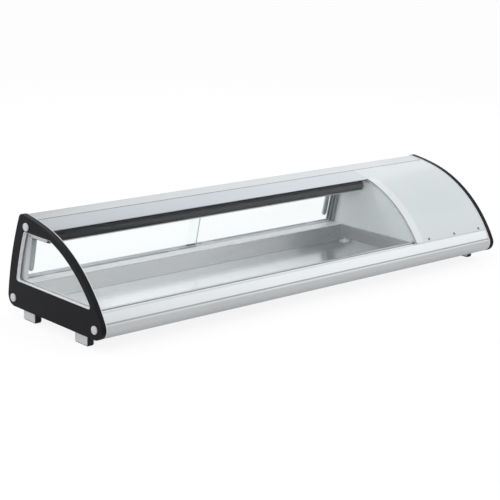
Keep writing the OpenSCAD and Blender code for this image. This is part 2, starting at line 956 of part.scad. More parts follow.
// Half turn of tube in the upright plane, bulging to one side
module half_turn(x, z, half, side) {
    translate([x, 0, z]) rotate([90, 0, 0]) rotate([0, 0, side > 0 ? -90 : 90])
        rotate_extrude(angle = 180) translate([half, 0]) circle(r = tube_r);
}

// Rows of tube joined by half turns, upright, with the first turn on one side
module serpentine(from, to, rows, pitch, side) {
    for (i = [0 : rows - 1]) bar_x(from, to, [0, i * pitch], tube_r);
    for (i = [0 : rows - 2]) half_turn((i % 2 == 0 ? side : -side) > 0 ? to : from, (i + 0.5) * pitch,
        pitch / 2, i % 2 == 0 ? side : -side);
}

evap_over = 8;
module evaporator_tube() {
    first = evap_at(0);
    color(copper) translate([0, first[0], first[1]]) rotate([-90, 0, 0])
        serpentine(evap_from - evap_over, evap_to + evap_over, evap_rows, evap_pitch, -1);
}

// Curved cover over the machine, from the top groove to the front profile
module machine_cover() {
    color(pale_steel) difference() {
        along(partition_x + sheet + gap, skin_end) intersection() {
            skin(skin_step, sheet);
            between_y(-far, top_groove_y - groove_w);
            between_z(seat_z + gap, far);
        }
        for (x = screw_xs) cover_screw_at(x) cylinder(r = screw_r + gap, h = 6 * wall, center = true);
    }
}

// Lighter strip along the left edge of the cover
edge_strip_w = 30;
edge_strip_t = 0.8;
module cover_edge_strip() {
    from = partition_x + sheet + gap;
    color(light_trim) along(from, from + edge_strip_w) intersection() {
        skin(skin_step - edge_strip_t, edge_strip_t - gap / 6);
        between_z(seat_z + wall, far);
        before(front_angle(trim_y));
    }
}

// Screws along the cover's lower edge
screw_r = 2;
screw_head_r = 4;
screw_head_h = 1.6;
screw_l = 7;
screw_up = 6;
screw_inset = 29;
screw_from = partition_x + edge_strip_w + screw_inset;
screw_to = skin_end - screw_inset;
screw_xs = [screw_from, (screw_from + screw_to) / 2, screw_to];
// Frame on the cover: z out of the surface
module cover_screw_at(x) {
    z = seat_z + screw_up;
    a = acos((z - front_c[1]) / (front_r - skin_step));
    translate([x, at_height(front_c, front_r - skin_step, z, -1), z]) rotate([a, 0, 0]) children();
}

// Rail behind the cover's lower edge, standing in the empty glass seat
module cover_rail() {
    color(aluminium) difference() {
        along(bay_left + gap, skin_end) intersection() {
            skin(skin_step + sheet, glass_t + wall);
            between_z(seat_z - 6 * wall + gap, seat_z + 6 * wall);
            between_y(-far, front_web_y);
            union() {
                skin(glass_in, glass_t);
                between_z(seat_z + gap, far);
            }
        }
        for (x = screw_xs) cover_screw_at(x) translate([0, 0, -2 * over - sheet - glass_t - wall])
            cylinder(r = screw_r, h = 2 * over + sheet + glass_t + wall);
    }
}

module cover_screws() {
    color(dark_grey) for (x = screw_xs) cover_screw_at(x) {
        translate([0, 0, gap / 3]) cylinder(r = screw_head_r, h = screw_head_h);
        translate([0, 0, -screw_l]) cylinder(r = screw_r, h = screw_l + gap);
    }
}

// Rear panel of the machine bay, screwed on the outer track ribs
panel_low = -3 * rib_t;
panel_high = upper_base - rib_t;
ctrl_in = 66;
ctrl_under = 26;
switch_off = 34;
inlet_off = 62;
ctrl_x = bay_left + ctrl_in;
ctrl_t = upper_rib_low - ctrl_under;
switch_x = ctrl_x + ctrl_w / 2 + switch_off;
inlet_x = switch_x + inlet_off;
louvre_n = 8;
louvre_pitch = 10;
louvre_l = 120;
louvre_w = 4;
louvre_low = 8;
bezel_over = 3;
ctrl_body_w = ctrl_w - 2 * bezel_over;
ctrl_body_h = ctrl_h - 2 * bezel_over;
switch_w = 20;
switch_h = 28;
inlet_w = 28;
inlet_h = 22;
panel_screw_in = 11;
panel_screws = [for (x = [partition_x + panel_screw_in, (partition_x + skin_end) / 2,
    skin_end - panel_screw_in], t = [-rib_t, upper_rib_low + 2 * rib_t]) [x, t]];
module on_panel(x, t) {
    leaned() translate([x, track_half, t]) rotate([-90, 0, 0]) children();
}

module machine_rear_panel() {
    color(pale_steel) difference() {
        leaned() translate([partition_x + gap, track_half, panel_low])
            cube([skin_end - partition_x - 2 * gap, sheet, panel_high - panel_low]);
        on_panel(ctrl_x, ctrl_t) translate([0, 0, sheet / 2])
            cube([ctrl_body_w + gap, ctrl_body_h + gap, 2 * sheet], center = true);
        on_panel(switch_x, ctrl_t) translate([0, 0, sheet / 2])
            cube([switch_w + gap, switch_h + gap, 2 * sheet], center = true);
        on_panel(inlet_x, ctrl_t) translate([0, 0, sheet / 2])
            cube([inlet_w + gap, inlet_h + gap, 2 * sheet], center = true);
        for (i = [0 : louvre_n - 1]) on_panel(fan_x, louvre_low + i * louvre_pitch)
            translate([-louvre_l / 2, -louvre_w / 2, -over])
            cube([louvre_l, louvre_w, sheet + 2 * over]);
        for (s = panel_screws) on_panel(s[0], s[1]) translate([0, 0, -over])
            cylinder(r = screw_r + gap, h = sheet + 2 * over);
    }
}

module rear_panel_screws() {
    color(dark_grey) for (s = panel_screws) on_panel(s[0], s[1]) {
        translate([0, 0, sheet]) cylinder(r = screw_head_r, h = screw_head_h);
        cylinder(r = screw_r, h = sheet);
    }
}

// Slotted sheet in the window of the right cheek
side_slots = 9;
side_pitch = 12;
module machine_side_panel() {
    color(dark_grey) difference() {
        along(cheek_in, cheek_in + sheet) window(gap - rabbet_w);
        for (i = [0 : side_slots - 1]) translate([cheek_in - over, -louvre_l / 4 + i * side_pitch / 3,
            window_z + side_pitch + i * side_pitch])
            cube([sheet + 2 * over, louvre_l - i * side_pitch / 2, louvre_w]);
    }
}

// Compressor: a can with two domed halves on a plate
can_dome = 18;
comp_plate = [150, 110];
stud_x = 60;
stud_y = 40;
module at_studs(z) {
    for (i = [-1, 1], j = [-1, 1]) translate([comp_x + i * stud_x, comp_y + j * stud_y, z]) children();
}

module compressor() {
    color(black_enamel) {
        difference() {
            translate([comp_x, comp_y, comp_z]) linear_extrude(height = comp_plate_t)
                plate2(comp_plate[0], comp_plate[1], grommet_h / 2);
            at_studs(comp_z - over) cylinder(r = bolt_r + gap, h = comp_plate_t + 2 * over);
        }
        translate([comp_x, comp_y, comp_z]) rotate_extrude($fn = 2 * $fn) {
            translate([0, can_dome]) square([can_r, can_h - 2 * can_dome]);
            intersection() {
                translate([0, can_dome]) scale([1, can_dome / can_r]) circle(r = can_r);
                square([can_r, can_dome]);
            }
            intersection() {
                translate([0, can_h - can_dome]) scale([1, can_dome / can_r]) circle(r = can_r);
                translate([0, can_h - can_dome]) square([can_r, can_dome]);
            }
        }
    }
}

// Rubber mounts with a stud each
module compressor_grommets() {
    color(rubber) at_studs(pan_top) {
        cylinder(r = 2.5 * bolt_r, h = grommet_h);
        cylinder(r = bolt_r, h = grommet_h + 3 * comp_plate_t);
    }
}

// Relay box on the front of the can
relay = [42, 30, 52];
module start_relay() {
    color(dark_grey) difference() {
        translate([comp_x - relay[0] / 2, comp_y - can_r - relay[1] / 2, comp_z + can_h / 4])
            cube(relay);
        translate([comp_x, comp_y, 0]) cylinder(r = can_r + gap, h = far, $fn = 2 * $fn);
    }
}

// Condenser behind the fan
cond_rows = 6;
cond_pitch = 22;
function cond_at(i) = [cond_y + cond_d / 2, cond_z + cond_h / 2 + (i - (cond_rows - 1) / 2) * cond_pitch];
module condenser_fins() {
    step = (cond_w - fin_t) / (cond_fins - 1);
    color(aluminium) difference() {
        for (i = [0 : cond_fins - 1]) translate([fan_x - cond_w / 2 + i * step, cond_y, cond_z])
            cube([fin_t, cond_d, cond_h]);
        for (i = [0 : cond_rows - 1])
            bar_x(fan_x - cond_w / 2 - over, fan_x + cond_w / 2 + over, cond_at(i), tube_r + gap / 3);
    }
}

module condenser_tube() {
    reach = cond_w / 2 + cond_over;
    first = cond_at(0);
    color(copper) translate([0, first[0], first[1]])
        serpentine(fan_x - reach, fan_x + reach, cond_rows, cond_pitch, 1);
}

// Sheet shroud with a ring round the fan and a bar that carries the motor
ring_gap = 2;
shroud_plate = 2;
ring_l = 14;
bar_h = 18;
motor_free = 8;
motor_y = fan_y - motor_free - motor_l;
bar_y = motor_y + motor_l - motor_free;
module fan_shroud() {
    front = cond_y - shroud_plate - gap;
    top = cond_z + cond_h + 2 * shroud_plate;
    ring_r = fan_r + ring_gap;
    color(dark_grey) {
        difference() {
            union() {
                translate([fan_x - cond_w / 2 - 2 * shroud_plate, front, pan_top])
                    cube([cond_w + 4 * shroud_plate, shroud_plate, top - pan_top]);
                translate([fan_x, front, fan_z]) rotate([90, 0, 0])
                    cylinder(r = ring_r + shroud_plate, h = ring_l, $fn = 2 * $fn);
            }
            translate([fan_x, front + shroud_plate + over, fan_z]) rotate([90, 0, 0])
                cylinder(r = ring_r, h = ring_l + shroud_plate + 2 * over, $fn = 2 * $fn);
        }
        for (x = [fan_x - cond_w / 2 - gap - shroud_plate, fan_x + cond_w / 2 + gap])
            translate([x, front, pan_top]) difference() {
                cube([shroud_plate, cond_d + shroud_plate, top - pan_top]);
                for (k = [0 : cond_rows - 1])
                    bar_x(-over, shroud_plate + over, cond_at(k) - [front, pan_top], tube_r + gap);
            }
        difference() {
            translate([fan_x - ring_r - shroud_plate, bar_y, fan_z - bar_h / 2])
                cube([2 * (ring_r + shroud_plate), shroud_plate, bar_h]);
            translate([fan_x, bar_y + shroud_plate + over, fan_z]) rotate([90, 0, 0])
                cylinder(r = motor_r - shroud_plate - over, h = shroud_plate + 2 * over);
        }
        for (x = [fan_x - ring_r - shroud_plate, fan_x + ring_r])
            translate([x, bar_y, fan_z - bar_h / 2]) cube([shroud_plate, front - bar_y, bar_h]);
    }
}

// Fan motor in front of the bar, with a bore for the shaft
shaft_r = 2.5;
shaft_play = 0.05;
module fan_motor() {
    color(dark_grey) translate([fan_x, motor_y, fan_z]) rotate([-90, 0, 0]) difference() {
        union() {
            cylinder(r = motor_r, h = bar_y - motor_y);
            cylinder(r = motor_r - shroud_plate - over - gap, h = motor_l);
        }
        translate([0, 0, motor_l / 2]) cylinder(r = shaft_r + shaft_play, h = motor_l);
    }
}

// Fan blade with hub and shaft
hub_r = 14;
blade_t = 1.6;
blade_d = 9;
blade_pitch = 28;
module fan_blade() {
    color(dark_grey) translate([fan_x, fan_y, fan_z]) rotate([-90, 0, 0]) {
        translate([0, 0, -blade_d / 2]) cylinder(r = hub_r, h = blade_d);
        translate([0, 0, motor_y + motor_l / 2 + over - fan_y])
            cylinder(r = shaft_r, h = fan_y - motor_y - motor_l / 2);
        intersection() {
            for (i = [0 : fan_blades - 1]) rotate([0, 0, i * 360 / fan_blades])
                rotate([blade_pitch, 0, 0]) translate([hub_r / 2, -hub_r, -blade_t / 2])
                cube([fan_r, 2 * hub_r, blade_t]);
            translate([0, 0, -blade_d / 2]) cylinder(r = fan_r, h = blade_d, $fn = 2 * $fn);
        }
    }
}

// A bent pipe through a row of points
module pipe(route, r) {
    for (i = [0 : len(route) - 2]) {
        way = route[i + 1] - route[i];
        translate(route[i]) rotate([0, acos(way[2] / norm(way)), atan2(way[1], way[0])])
            cylinder(r = r, h = norm(way), $fn = 24);
    }
    for (i = [1 : 1 : len(route) - 2]) translate(route[i]) sphere(r = r, $fn = 24);
}

// Filter drier on a clip on the pan
drier_r = 10;
drier_l = 84;
drier_before = 40;
drier_up = 4;
drier_in = 30;
drier_y = comp_y - comp_plate[1] / 2 - drier_before;
drier_z = pan_top + drier_r + drier_up;
drier_x = bay_left + drier_in;
module filter_drier() {
    color(copper) {
        bar_x(drier_x, drier_x + drier_l, [drier_y, drier_z], drier_r);
        bar_x(drier_x - drier_r / 2, drier_x + drier_l + drier_r / 2, [drier_y, drier_z], drier_r / 2);
        translate([drier_x + drier_l / 4, drier_y - drier_r / 2, pan_top])
            cube([drier_l / 2, drier_r, drier_r]);
    }
}

// Copper pipes of the cooling circuit
pipe_r = 3;
capillary_r = 1.5;
can_top = comp_z + can_h;
module discharge_pipe() {
    low = cond_at(0);
    side_x = fan_x - cond_w / 2 - cond_over;
    down_x = comp_x + can_r + 4 * pipe_r;
    color(copper) pipe([
        [comp_x + can_r + gap, comp_y, comp_z + can_h / 2],
        [down_x, comp_y, comp_z + can_h / 2],
        [down_x, comp_y, low[1]],
        [down_x, low[0], low[1]],
        [side_x - gap, low[0], low[1]]], pipe_r);
}

capillary_up = 100;
capillary_in = 10;
capillary_off = 5;
module liquid_line() {
    high = cond_at(cond_rows - 1);
    side_x = fan_x - cond_w / 2 - cond_over;
    down_x = side_x - 4 * pipe_r;
    up_x = bay_left + capillary_in;
    hole = evap_at(evap_rows - 1);
    inlet = evap_at(0);
    turn_x = evap_to + evap_over + 4 * pipe_r;
    low = hole[1] - capillary_off;
    color(copper) {
        pipe([
            [side_x - gap, high[0], high[1]],
            [down_x, high[0], high[1]],
            [down_x, drier_y, high[1]],
            [down_x, drier_y, drier_z],
            [drier_x + drier_l + drier_r / 2 + gap, drier_y, drier_z]], 1.5 * capillary_r);
        pipe([
            [drier_x - drier_r / 2 - gap, drier_y, drier_z],
            [up_x, drier_y, drier_z],
            [up_x, drier_y, drier_z + capillary_up],
            [up_x, hole[0], drier_z + capillary_up],
            [up_x, hole[0], low],
            [turn_x, hole[0], low],
            [turn_x, inlet[0], low],
            [turn_x, inlet[0], inlet[1]],
            [evap_to + evap_over + gap, inlet[0], inlet[1]]], capillary_r);
    }
}

module suction_pipe() {
    end = evap_at(evap_rows - 1);
    color(copper) pipe([
        [evap_to + evap_over + gap, end[0], end[1]],
        [comp_x, end[0], end[1]],
        [comp_x, comp_y + can_r / 2, end[1]],
        [comp_x, comp_y + can_r / 2, can_top - can_dome / 12]], pipe_r);
}

// Controller: body through the panel, bezel outside, dark window and three buttons
bezel_t = 4;
ctrl_depth = 40;
win_w = ctrl_w * 0.5;
win_h = ctrl_h * 0.6;
win_t = 1.5;
win_off = -ctrl_w * 0.17;
button_w = 9;
button_h = 6;
button_proud = 1.5;
button_deep = 3;
button_play = 0.3;
button_well = button_deep + button_travel + gap;
button_x_shares = [0.17, 0.31, 0.31];
button_t_shares = [0, 0.16, -0.16];
button_xs = ctrl_w * button_x_shares;
button_ts = ctrl_h * button_t_shares;
module on_controller(x, t) {
    on_panel(ctrl_x, ctrl_t) translate([x, -t, 0]) children();
}

module controller_body() {
    color(black_plastic) difference() {
        union() {
            on_panel(ctrl_x, ctrl_t) translate([0, 0, sheet]) linear_extrude(height = bezel_t)
                plate2(ctrl_w, ctrl_h, bezel_t);
            on_panel(ctrl_x, ctrl_t) translate([-ctrl_body_w / 2, -ctrl_body_h / 2, -ctrl_depth])
                cube([ctrl_body_w, ctrl_body_h, ctrl_depth + sheet]);
        }
        on_controller(win_off, 0) translate([-win_w / 2, -win_h / 2, sheet + bezel_t - win_t])
            cube([win_w, win_h, win_t + over]);
        for (i = [0 : 2]) on_controller(button_xs[i], button_ts[i])
            translate([-button_w / 2 - button_play, -button_h / 2 - button_play,
                sheet + bezel_t - button_well])
            cube([button_w + 2 * button_play, button_h + 2 * button_play, button_well + over]);
    }
}

module controller_window() {
    color(black_enamel) on_controller(win_off, 0)
        translate([-win_w / 2, -win_h / 2, sheet + bezel_t - win_t]) cube([win_w, win_h, win_t]);
}

module button(i) {
    color(light_trim) on_controller(button_xs[i], button_ts[i])
        translate([-button_w / 2, -button_h / 2, sheet + bezel_t - button_deep])
        cube([button_w, button_h, button_deep + button_proud]);
}

module button_set() {
    button(0);
}

module button_up() {
    button(1);
}

module button_down() {
    button(2);
}

// Power switch with a rocker on a pin
switch_depth = 22;
switch_wall = 2;
switch_rim = 2;
rocker_play = 0.4;
pin_r = 1.5;
pin_deep = 5;
module power_switch() {
    color(black_plastic) on_panel(switch_x, ctrl_t) difference() {
        union() {
            translate([-switch_w / 2 - switch_rim, -switch_h / 2 - switch_rim, sheet])
                cube([switch_w + 2 * switch_rim, switch_h + 2 * switch_rim, switch_rim]);
            translate([-switch_w / 2, -switch_h / 2, -switch_depth])
                cube([switch_w, switch_h, switch_depth + sheet]);
        }
        translate([-switch_w / 2 + switch_wall, -switch_h / 2 + switch_wall,
            sheet + switch_rim - 2 * pin_deep])
            cube([switch_w - 2 * switch_wall, switch_h - 2 * switch_wall, 2 * pin_deep + over]);
        translate([-switch_w / 2 + switch_wall / 2, 0, sheet + switch_rim - pin_deep]) rotate([0, 90, 0])
            cylinder(r = pin_r + shaft_play, h = switch_w - switch_wall);
    }
}

// Rocker: a bar with a two-sided crest, resting on one side
rocker_half = switch_h / 2 - switch_wall - 2 * rocker_play;
rocker_crest = 3;
module rocker() {
    w = switch_w - 2 * switch_wall - 2 * rocker_play;
    color(black_enamel) on_panel(switch_x, ctrl_t) translate([0, 0, sheet + switch_rim - pin_deep])
        rotate([-rocker_tilt, 0, 0]) {
            translate([w / 2, 0, 0]) rotate([90, 0, -90]) linear_extrude(height = w) polygon([
                [-rocker_half, pin_r], [0, -pin_r - rocker_play], [rocker_half, pin_r],
                [rocker_half - rocker_play, pin_deep + rocker_crest], [0, pin_deep + rocker_play],
                [rocker_play - rocker_half, pin_deep + rocker_crest]]);
            translate([-switch_w / 2 + switch_wall / 2 + rocker_play, 0, 0]) rotate([0, 90, 0])
                cylinder(r = pin_r, h = switch_w - switch_wall - 2 * rocker_play);
        }
}

// Power inlet with its three blades in the socket
inlet_depth = 24;
inlet_wall = 2.5;
inlet_rim = 3;
blade = [2, 4, 14];
module power_inlet() {
    color(black_plastic) on_panel(inlet_x, ctrl_t) {
        difference() {
            union() {
                translate([-inlet_w / 2 - inlet_rim, -inlet_h / 2 - inlet_rim, sheet])
                    cube([inlet_w + 2 * inlet_rim, inlet_h + 2 * inlet_rim, inlet_rim]);
                translate([-inlet_w / 2, -inlet_h / 2, -inlet_depth])
                    cube([inlet_w, inlet_h, inlet_depth + sheet]);
            }
            translate([-inlet_w / 2 + inlet_wall, -inlet_h / 2 + inlet_wall,
                sheet + inlet_rim - inlet_depth + inlet_wall])
                cube([inlet_w - 2 * inlet_wall, inlet_h - 2 * inlet_wall, inlet_depth]);
        }
        for (i = [-1, 0, 1]) translate([i * inlet_w / 4 - blade[0] / 2,
            (i == 0 ? -1 : 1) * blade[1] / 2 - blade[1] / 2, sheet + inlet_rim - inlet_depth
            + inlet_wall - gap]) cube(blade);
    }
}

// Feet: a bright channel each, with a rubber block in it
foot_plate = 2;
module feet_at() {
    for (y = [case_d / 2 - rear_foot_in, front_foot_in - case_d / 2])
        both_ends() translate([cheek_out - foot_in - foot_w, y - foot_l / 2, 0]) children();
}

module foot_brackets() {
    color(light_trim) feet_at() {
        difference() {
            translate([0, 0, rubber_drop]) cube([foot_w, foot_l, foot_h - rubber_drop]);
            translate([foot_plate, -over, rubber_drop - over])
                cube([foot_w - 2 * foot_plate, foot_l + 2 * over, foot_h - rubber_drop - foot_plate + over]);
        }
        translate([0, 0, foot_h - foot_plate])
            cube([foot_w + foot_in - cheek_t - strip_w - gap, foot_l, pan_z - foot_h + foot_plate]);
    }
}

module foot_rubbers() {
    color(rubber) feet_at() translate([foot_plate, 0, 0])
        cube([foot_w - 2 * foot_plate, foot_l, foot_h - foot_plate]);
}

left_cheek();
right_cheek();
cheek_bolts();
cheek_caps();
end_strips();
window_trims();
left_end_pane();
front_glass();
top_profile();
top_trim();
front_profile();
rear_profile();
base_pan();
base_insulation();
well_liner();
drain_plug();
drain_pipe();
partition_panel();
partition_insulation();
partition_seal();
door_posts();
left_door();
right_door();
left_door_handle();
right_door_handle();
left_door_glides();
right_door_glides();
evaporator_shroud();
drip_tray();
evaporator_fins();
evaporator_tube();
machine_cover();
cover_edge_strip();
cover_rail();
cover_screws();
machine_rear_panel();
rear_panel_screws();
machine_side_panel();
compressor();
compressor_grommets();
start_relay();
condenser_fins();
condenser_tube();
fan_shroud();
fan_motor();
fan_blade();
filter_drier();
discharge_pipe();
liquid_line();
suction_pipe();
controller_body();
controller_window();
button_set();
button_up();
button_down();
power_switch();
rocker();
power_inlet();
foot_brackets();
foot_rubbers();
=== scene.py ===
"""Looks of a refrigerated display case with a curved glass front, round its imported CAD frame.

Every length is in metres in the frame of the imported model: x runs along the case, y to the staff
side and z up.
"""

import logging
import math
from dataclasses import dataclass
from enum import Enum
from typing import Callable, Iterable, Optional, Sequence, Union

import bmesh
import bpy
from mathutils import Matrix, Vector


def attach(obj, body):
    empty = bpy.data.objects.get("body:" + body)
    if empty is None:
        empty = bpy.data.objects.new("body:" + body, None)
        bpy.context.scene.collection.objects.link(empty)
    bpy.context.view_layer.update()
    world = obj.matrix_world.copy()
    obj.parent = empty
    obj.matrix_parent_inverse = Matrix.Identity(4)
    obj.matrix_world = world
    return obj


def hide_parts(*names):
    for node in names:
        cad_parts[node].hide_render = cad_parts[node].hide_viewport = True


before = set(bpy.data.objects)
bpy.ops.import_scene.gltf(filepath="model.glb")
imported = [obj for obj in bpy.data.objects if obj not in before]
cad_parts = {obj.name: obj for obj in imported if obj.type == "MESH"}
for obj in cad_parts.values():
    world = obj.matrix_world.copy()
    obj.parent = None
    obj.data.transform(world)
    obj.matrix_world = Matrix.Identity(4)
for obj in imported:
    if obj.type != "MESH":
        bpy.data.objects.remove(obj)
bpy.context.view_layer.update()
LOG = logging.getLogger("display_case")

Number = Union[float, "Signal"]
Triple = tuple[float, float, float]
Colour = Triple
WHITE: Colour = (1.0, 1.0, 1.0)
SHADE: Colour = (0.0, 0.005, 0.01)  # what the shaded end of a metal piece turns to


# ---- node trees


class Signal:
    """A number that flows between shader nodes, with the usual operators."""

    def __init__(self, desk: "NodeDesk", socket: bpy.types.NodeSocket) -> None:
        """Wraps an output socket.

        Args:
            desk: The node desk that the socket belongs to.
            socket: The output that carries the number.
        """
        self.desk = desk
        self.socket = socket

    def _combined(self, operation: str, first: Number, second: Number) -> "Signal":
        """Feeds two numbers through one Math node.

        Args:
            operation: Name of the Math node's operation.
            first: Left operand.
            second: Right operand.

        Returns:
            The result as a new signal.
        """
        node = self.desk.add("ShaderNodeMath", {0: first, 1: second}, operation=operation)
        return Signal(self.desk, node.outputs[0])

    def __add__(self, other: Number) -> "Signal":
        """Sum of this signal and another number."""
        return self._combined("ADD", self, other)

    def __radd__(self, other: Number) -> "Signal":
        """Sum with a plain number on the left."""
        return self._combined("ADD", other, self)

    def __sub__(self, other: Number) -> "Signal":
        """Difference of this signal and another number."""
        return self._combined("SUBTRACT", self, other)

    def __rsub__(self, other: Number) -> "Signal":
        """Difference with a plain number on the left."""
        return self._combined("SUBTRACT", other, self)

    def __mul__(self, other: Number) -> "Signal":
        """Product of this signal and another number."""
        return self._combined("MULTIPLY", self, other)

    def __rmul__(self, other: Number) -> "Signal":
        """Product with a plain number on the left."""
        return self._combined("MULTIPLY", other, self)

    def __pow__(self, other: Number) -> "Signal":
        """This signal raised to a power."""
        return self._combined("POWER", self, other)

    def at_most(self, limit: float) -> "Signal":
        """This signal, held under a limit."""
        return self._combined("MINIMUM", self, limit)


class NodeDesk:
    """One node tree that a finish is laid out on."""

    def __init__(self, tree: bpy.types.NodeTree) -> None:
        """Starts from an empty tree.

        Args:
            tree: The tree of a material or of the world.
        """
        self.tree = tree
        self.tree.nodes.clear()

    def add(self, kind: str, inputs: Optional[dict] = None, **settings: object) -> bpy.types.Node:
        """Adds a node, sets it up and feeds its inputs.

        Args:
            kind: Blender's name of the node type.
            inputs: Values, signals or sockets for the inputs, by name or number.
            **settings: Attributes of the node.

        Returns:
            The new node.
        """
        node = self.tree.nodes.new(kind)
        for key, value in settings.items():
            setattr(node, key, value)
        for key, value in (inputs or {}).items():
            self.feed(node.inputs[key], value)
        return node

    def feed(self, target: bpy.types.NodeSocket, value: object) -> None:
        """Links a signal or a socket to an input, or sets its value.

        Args:
            target: The input.
            value: A signal, a socket or a plain value.
        """
        if isinstance(value, Signal):
            value = value.socket
        if isinstance(value, bpy.types.NodeSocket):
            self.tree.links.new(value, target)
        elif isinstance(value, tuple) and len(value) == 3 and target.type == "RGBA":
            target.default_value = (*value, 1.0)
        else:
            target.default_value = value

    def place(self, stretch: Triple = (1.0, 1.0, 1.0)) -> bpy.types.NodeSocket:
        """Object coordinates, stretched along the axes.

        Args:
            stretch: Factors for x, y and z.

        Returns:
            The vector output of a Mapping node.
        """
        source = self.add("ShaderNodeTexCoord").outputs["Object"]
        return self.add("ShaderNodeMapping", {"Vector": source, "Scale": stretch}).outputs["Vector"]

    def along_x(self) -> Signal:
        """The x of the Object coordinates."""
        node = self.add("ShaderNodeSeparateXYZ", {"Vector": self.place()})
        return Signal(self, node.outputs["X"])

    def noise(self, scale: float, stretch: Triple = (1.0, 1.0, 1.0), detail: float = 2.0) -> Signal:
        """Fractal noise on the object's own coordinates.

        Args:
            scale: Waves per metre.
            stretch: Factors of that scale for x, y and z.
            detail: Number of finer layers.

        Returns:
            The noise, from 0 to 1.
        """
        node = self.add("ShaderNodeTexNoise",
                        {"Vector": self.place(stretch), "Scale": scale, "Detail": detail})
        return Signal(self, node.outputs["Fac"])

    def light_path(self, *rays: str) -> Signal:
        """One for rays of the named kinds, else zero.

        Args:
            *rays: Output names of the Light Path node.

        Returns:
            The sum of these outputs, at most one.
        """
        node = self.add("ShaderNodeLightPath")
        total = Signal(self, node.outputs[rays[0]])
        for ray in rays[1:]:
            total = total + Signal(self, node.outputs[ray])
        return total.at_most(1.0)

    def blend(self, factor: Number, low: object, high: object) -> bpy.types.NodeSocket:
        """Mixes two colours.

        Args:
            factor: Share of the second colour.
            low: First colour, or a socket with it.
            high: Second colour, or a socket with it.

        Returns:
            The colour output.
        """
        share, first, second, result = 0, 6, 7, 2  # the node's sockets for colours
        node = self.add("ShaderNodeMix", data_type="RGBA", clamp_factor=True)
        for place, value in ((share, factor), (first, low), (second, high)):
            self.feed(node.inputs[place], value)
        return node.outputs[result]

    def bump(self, height: Signal, distance: float) -> bpy.types.NodeSocket:
        """Turns a height into a bumped normal.

        Args:
            height: The height, from 0 to 1.
            distance: Metres from the lowest to the highest point.

        Returns:
            The normal output.
        """
        node = self.add("ShaderNodeBump", {"Height": height, "Distance": distance, "Strength": 1.0})
        return node.outputs["Normal"]

    def mixed(self, factor: Number, low: bpy.types.Node, high: bpy.types.Node) -> bpy.types.Node:
        """Mixes two shaders.

        Args:
            factor: Share of the second shader.
            low: First shader.
            high: Second shader.

        Returns:
            The Mix Shader node.
        """
        return self.add("ShaderNodeMixShader",
                        {0: factor, 1: low.outputs[0], 2: high.outputs[0]})

    def output(self, shader: bpy.types.Node, kind: str = "ShaderNodeOutputMaterial") -> None:
        """Sends a shader to the tree's output.

        Args:
            shader: The shader node.
            kind: Type of the output node.
        """
        self.add(kind, {"Surface": shader.outputs[0]})


# ---- finishes


def srgb(code: str) -> Colour:
    """Linear colour of a display colour.

    Args:
        code: Six hexadecimal digits.

    Returns:
        Red, green and blue in linear light.
    """
    shares = [byte / 255 for byte in bytes.fromhex(code)]
    return tuple(c / 12.92 if c <= 0.04045 else ((c + 0.055) / 1.055) ** 2.4 for c in shares)


class Finish:
    """Something that a surface can be dressed in. Colours are six hexadecimal digits."""

    title: str  # name of the material

    def lay_out(self, desk: NodeDesk) -> None:
        """Lays the finish out on a node desk.

        Args:
            desk: The desk of the new material.
        """
        raise NotImplementedError

    def material(self) -> bpy.types.Material:
        """The Blender material of this finish, made at its first use.

        Returns:
            The material.
        """
        known = bpy.data.materials.get(self.title)
        if known is not None:
            return known
        made = bpy.data.materials.new(self.title)
        made.use_nodes = True
        self.lay_out(NodeDesk(made.node_tree))
        return made


@dataclass(frozen=True)
class Moulding(Finish):
    """Injection-moulded plastic or rubber: a soft mottle, a fine grain and a satin sheen."""

    title: str
    low: str  # colour in the darker patches
    high: str  # colour in the lighter patches
    rough: float = 0.42  # roughness in the middle
    rough_swing: float = 0.12  # how far the roughness wanders
    grain: float = 1400.0  # waves of the grain per metre
    grain_depth: float = 0.00003  # height of the grain
    coat: float = 0.0  # weight of a clear coat
    specular: float = 0.5  # level of the sheen
    cloud: float = 9.0  # waves of the mottle per metre
    contrast: float = 1.4  # how far the mottle is spread
    rub: float = 60.0  # waves of the worn patches per metre
    coat_rough: float = 0.12  # roughness of the coat

    def lay_out(self, desk: NodeDesk) -> None:
        """Lays the plastic out.

        Args:
            desk: The desk of the new material.
        """
        cloud = desk.noise(self.cloud, detail=3.0) * self.contrast - (self.contrast - 1.0) / 2.0
        rub = desk.noise(self.rub, detail=4.0)
        skin = desk.add("ShaderNodeBsdfPrincipled", {
            "Base Color": desk.blend(cloud, srgb(self.low), srgb(self.high)),
            "Roughness": self.rough + (rub - 0.5) * self.rough_swing,
            "Specular IOR Level": self.specular,
            "Coat Weight": self.coat,
            "Coat Roughness": self.coat_rough,
            "Normal": desk.bump(desk.noise(self.grain), self.grain_depth),
        })
        desk.output(skin)


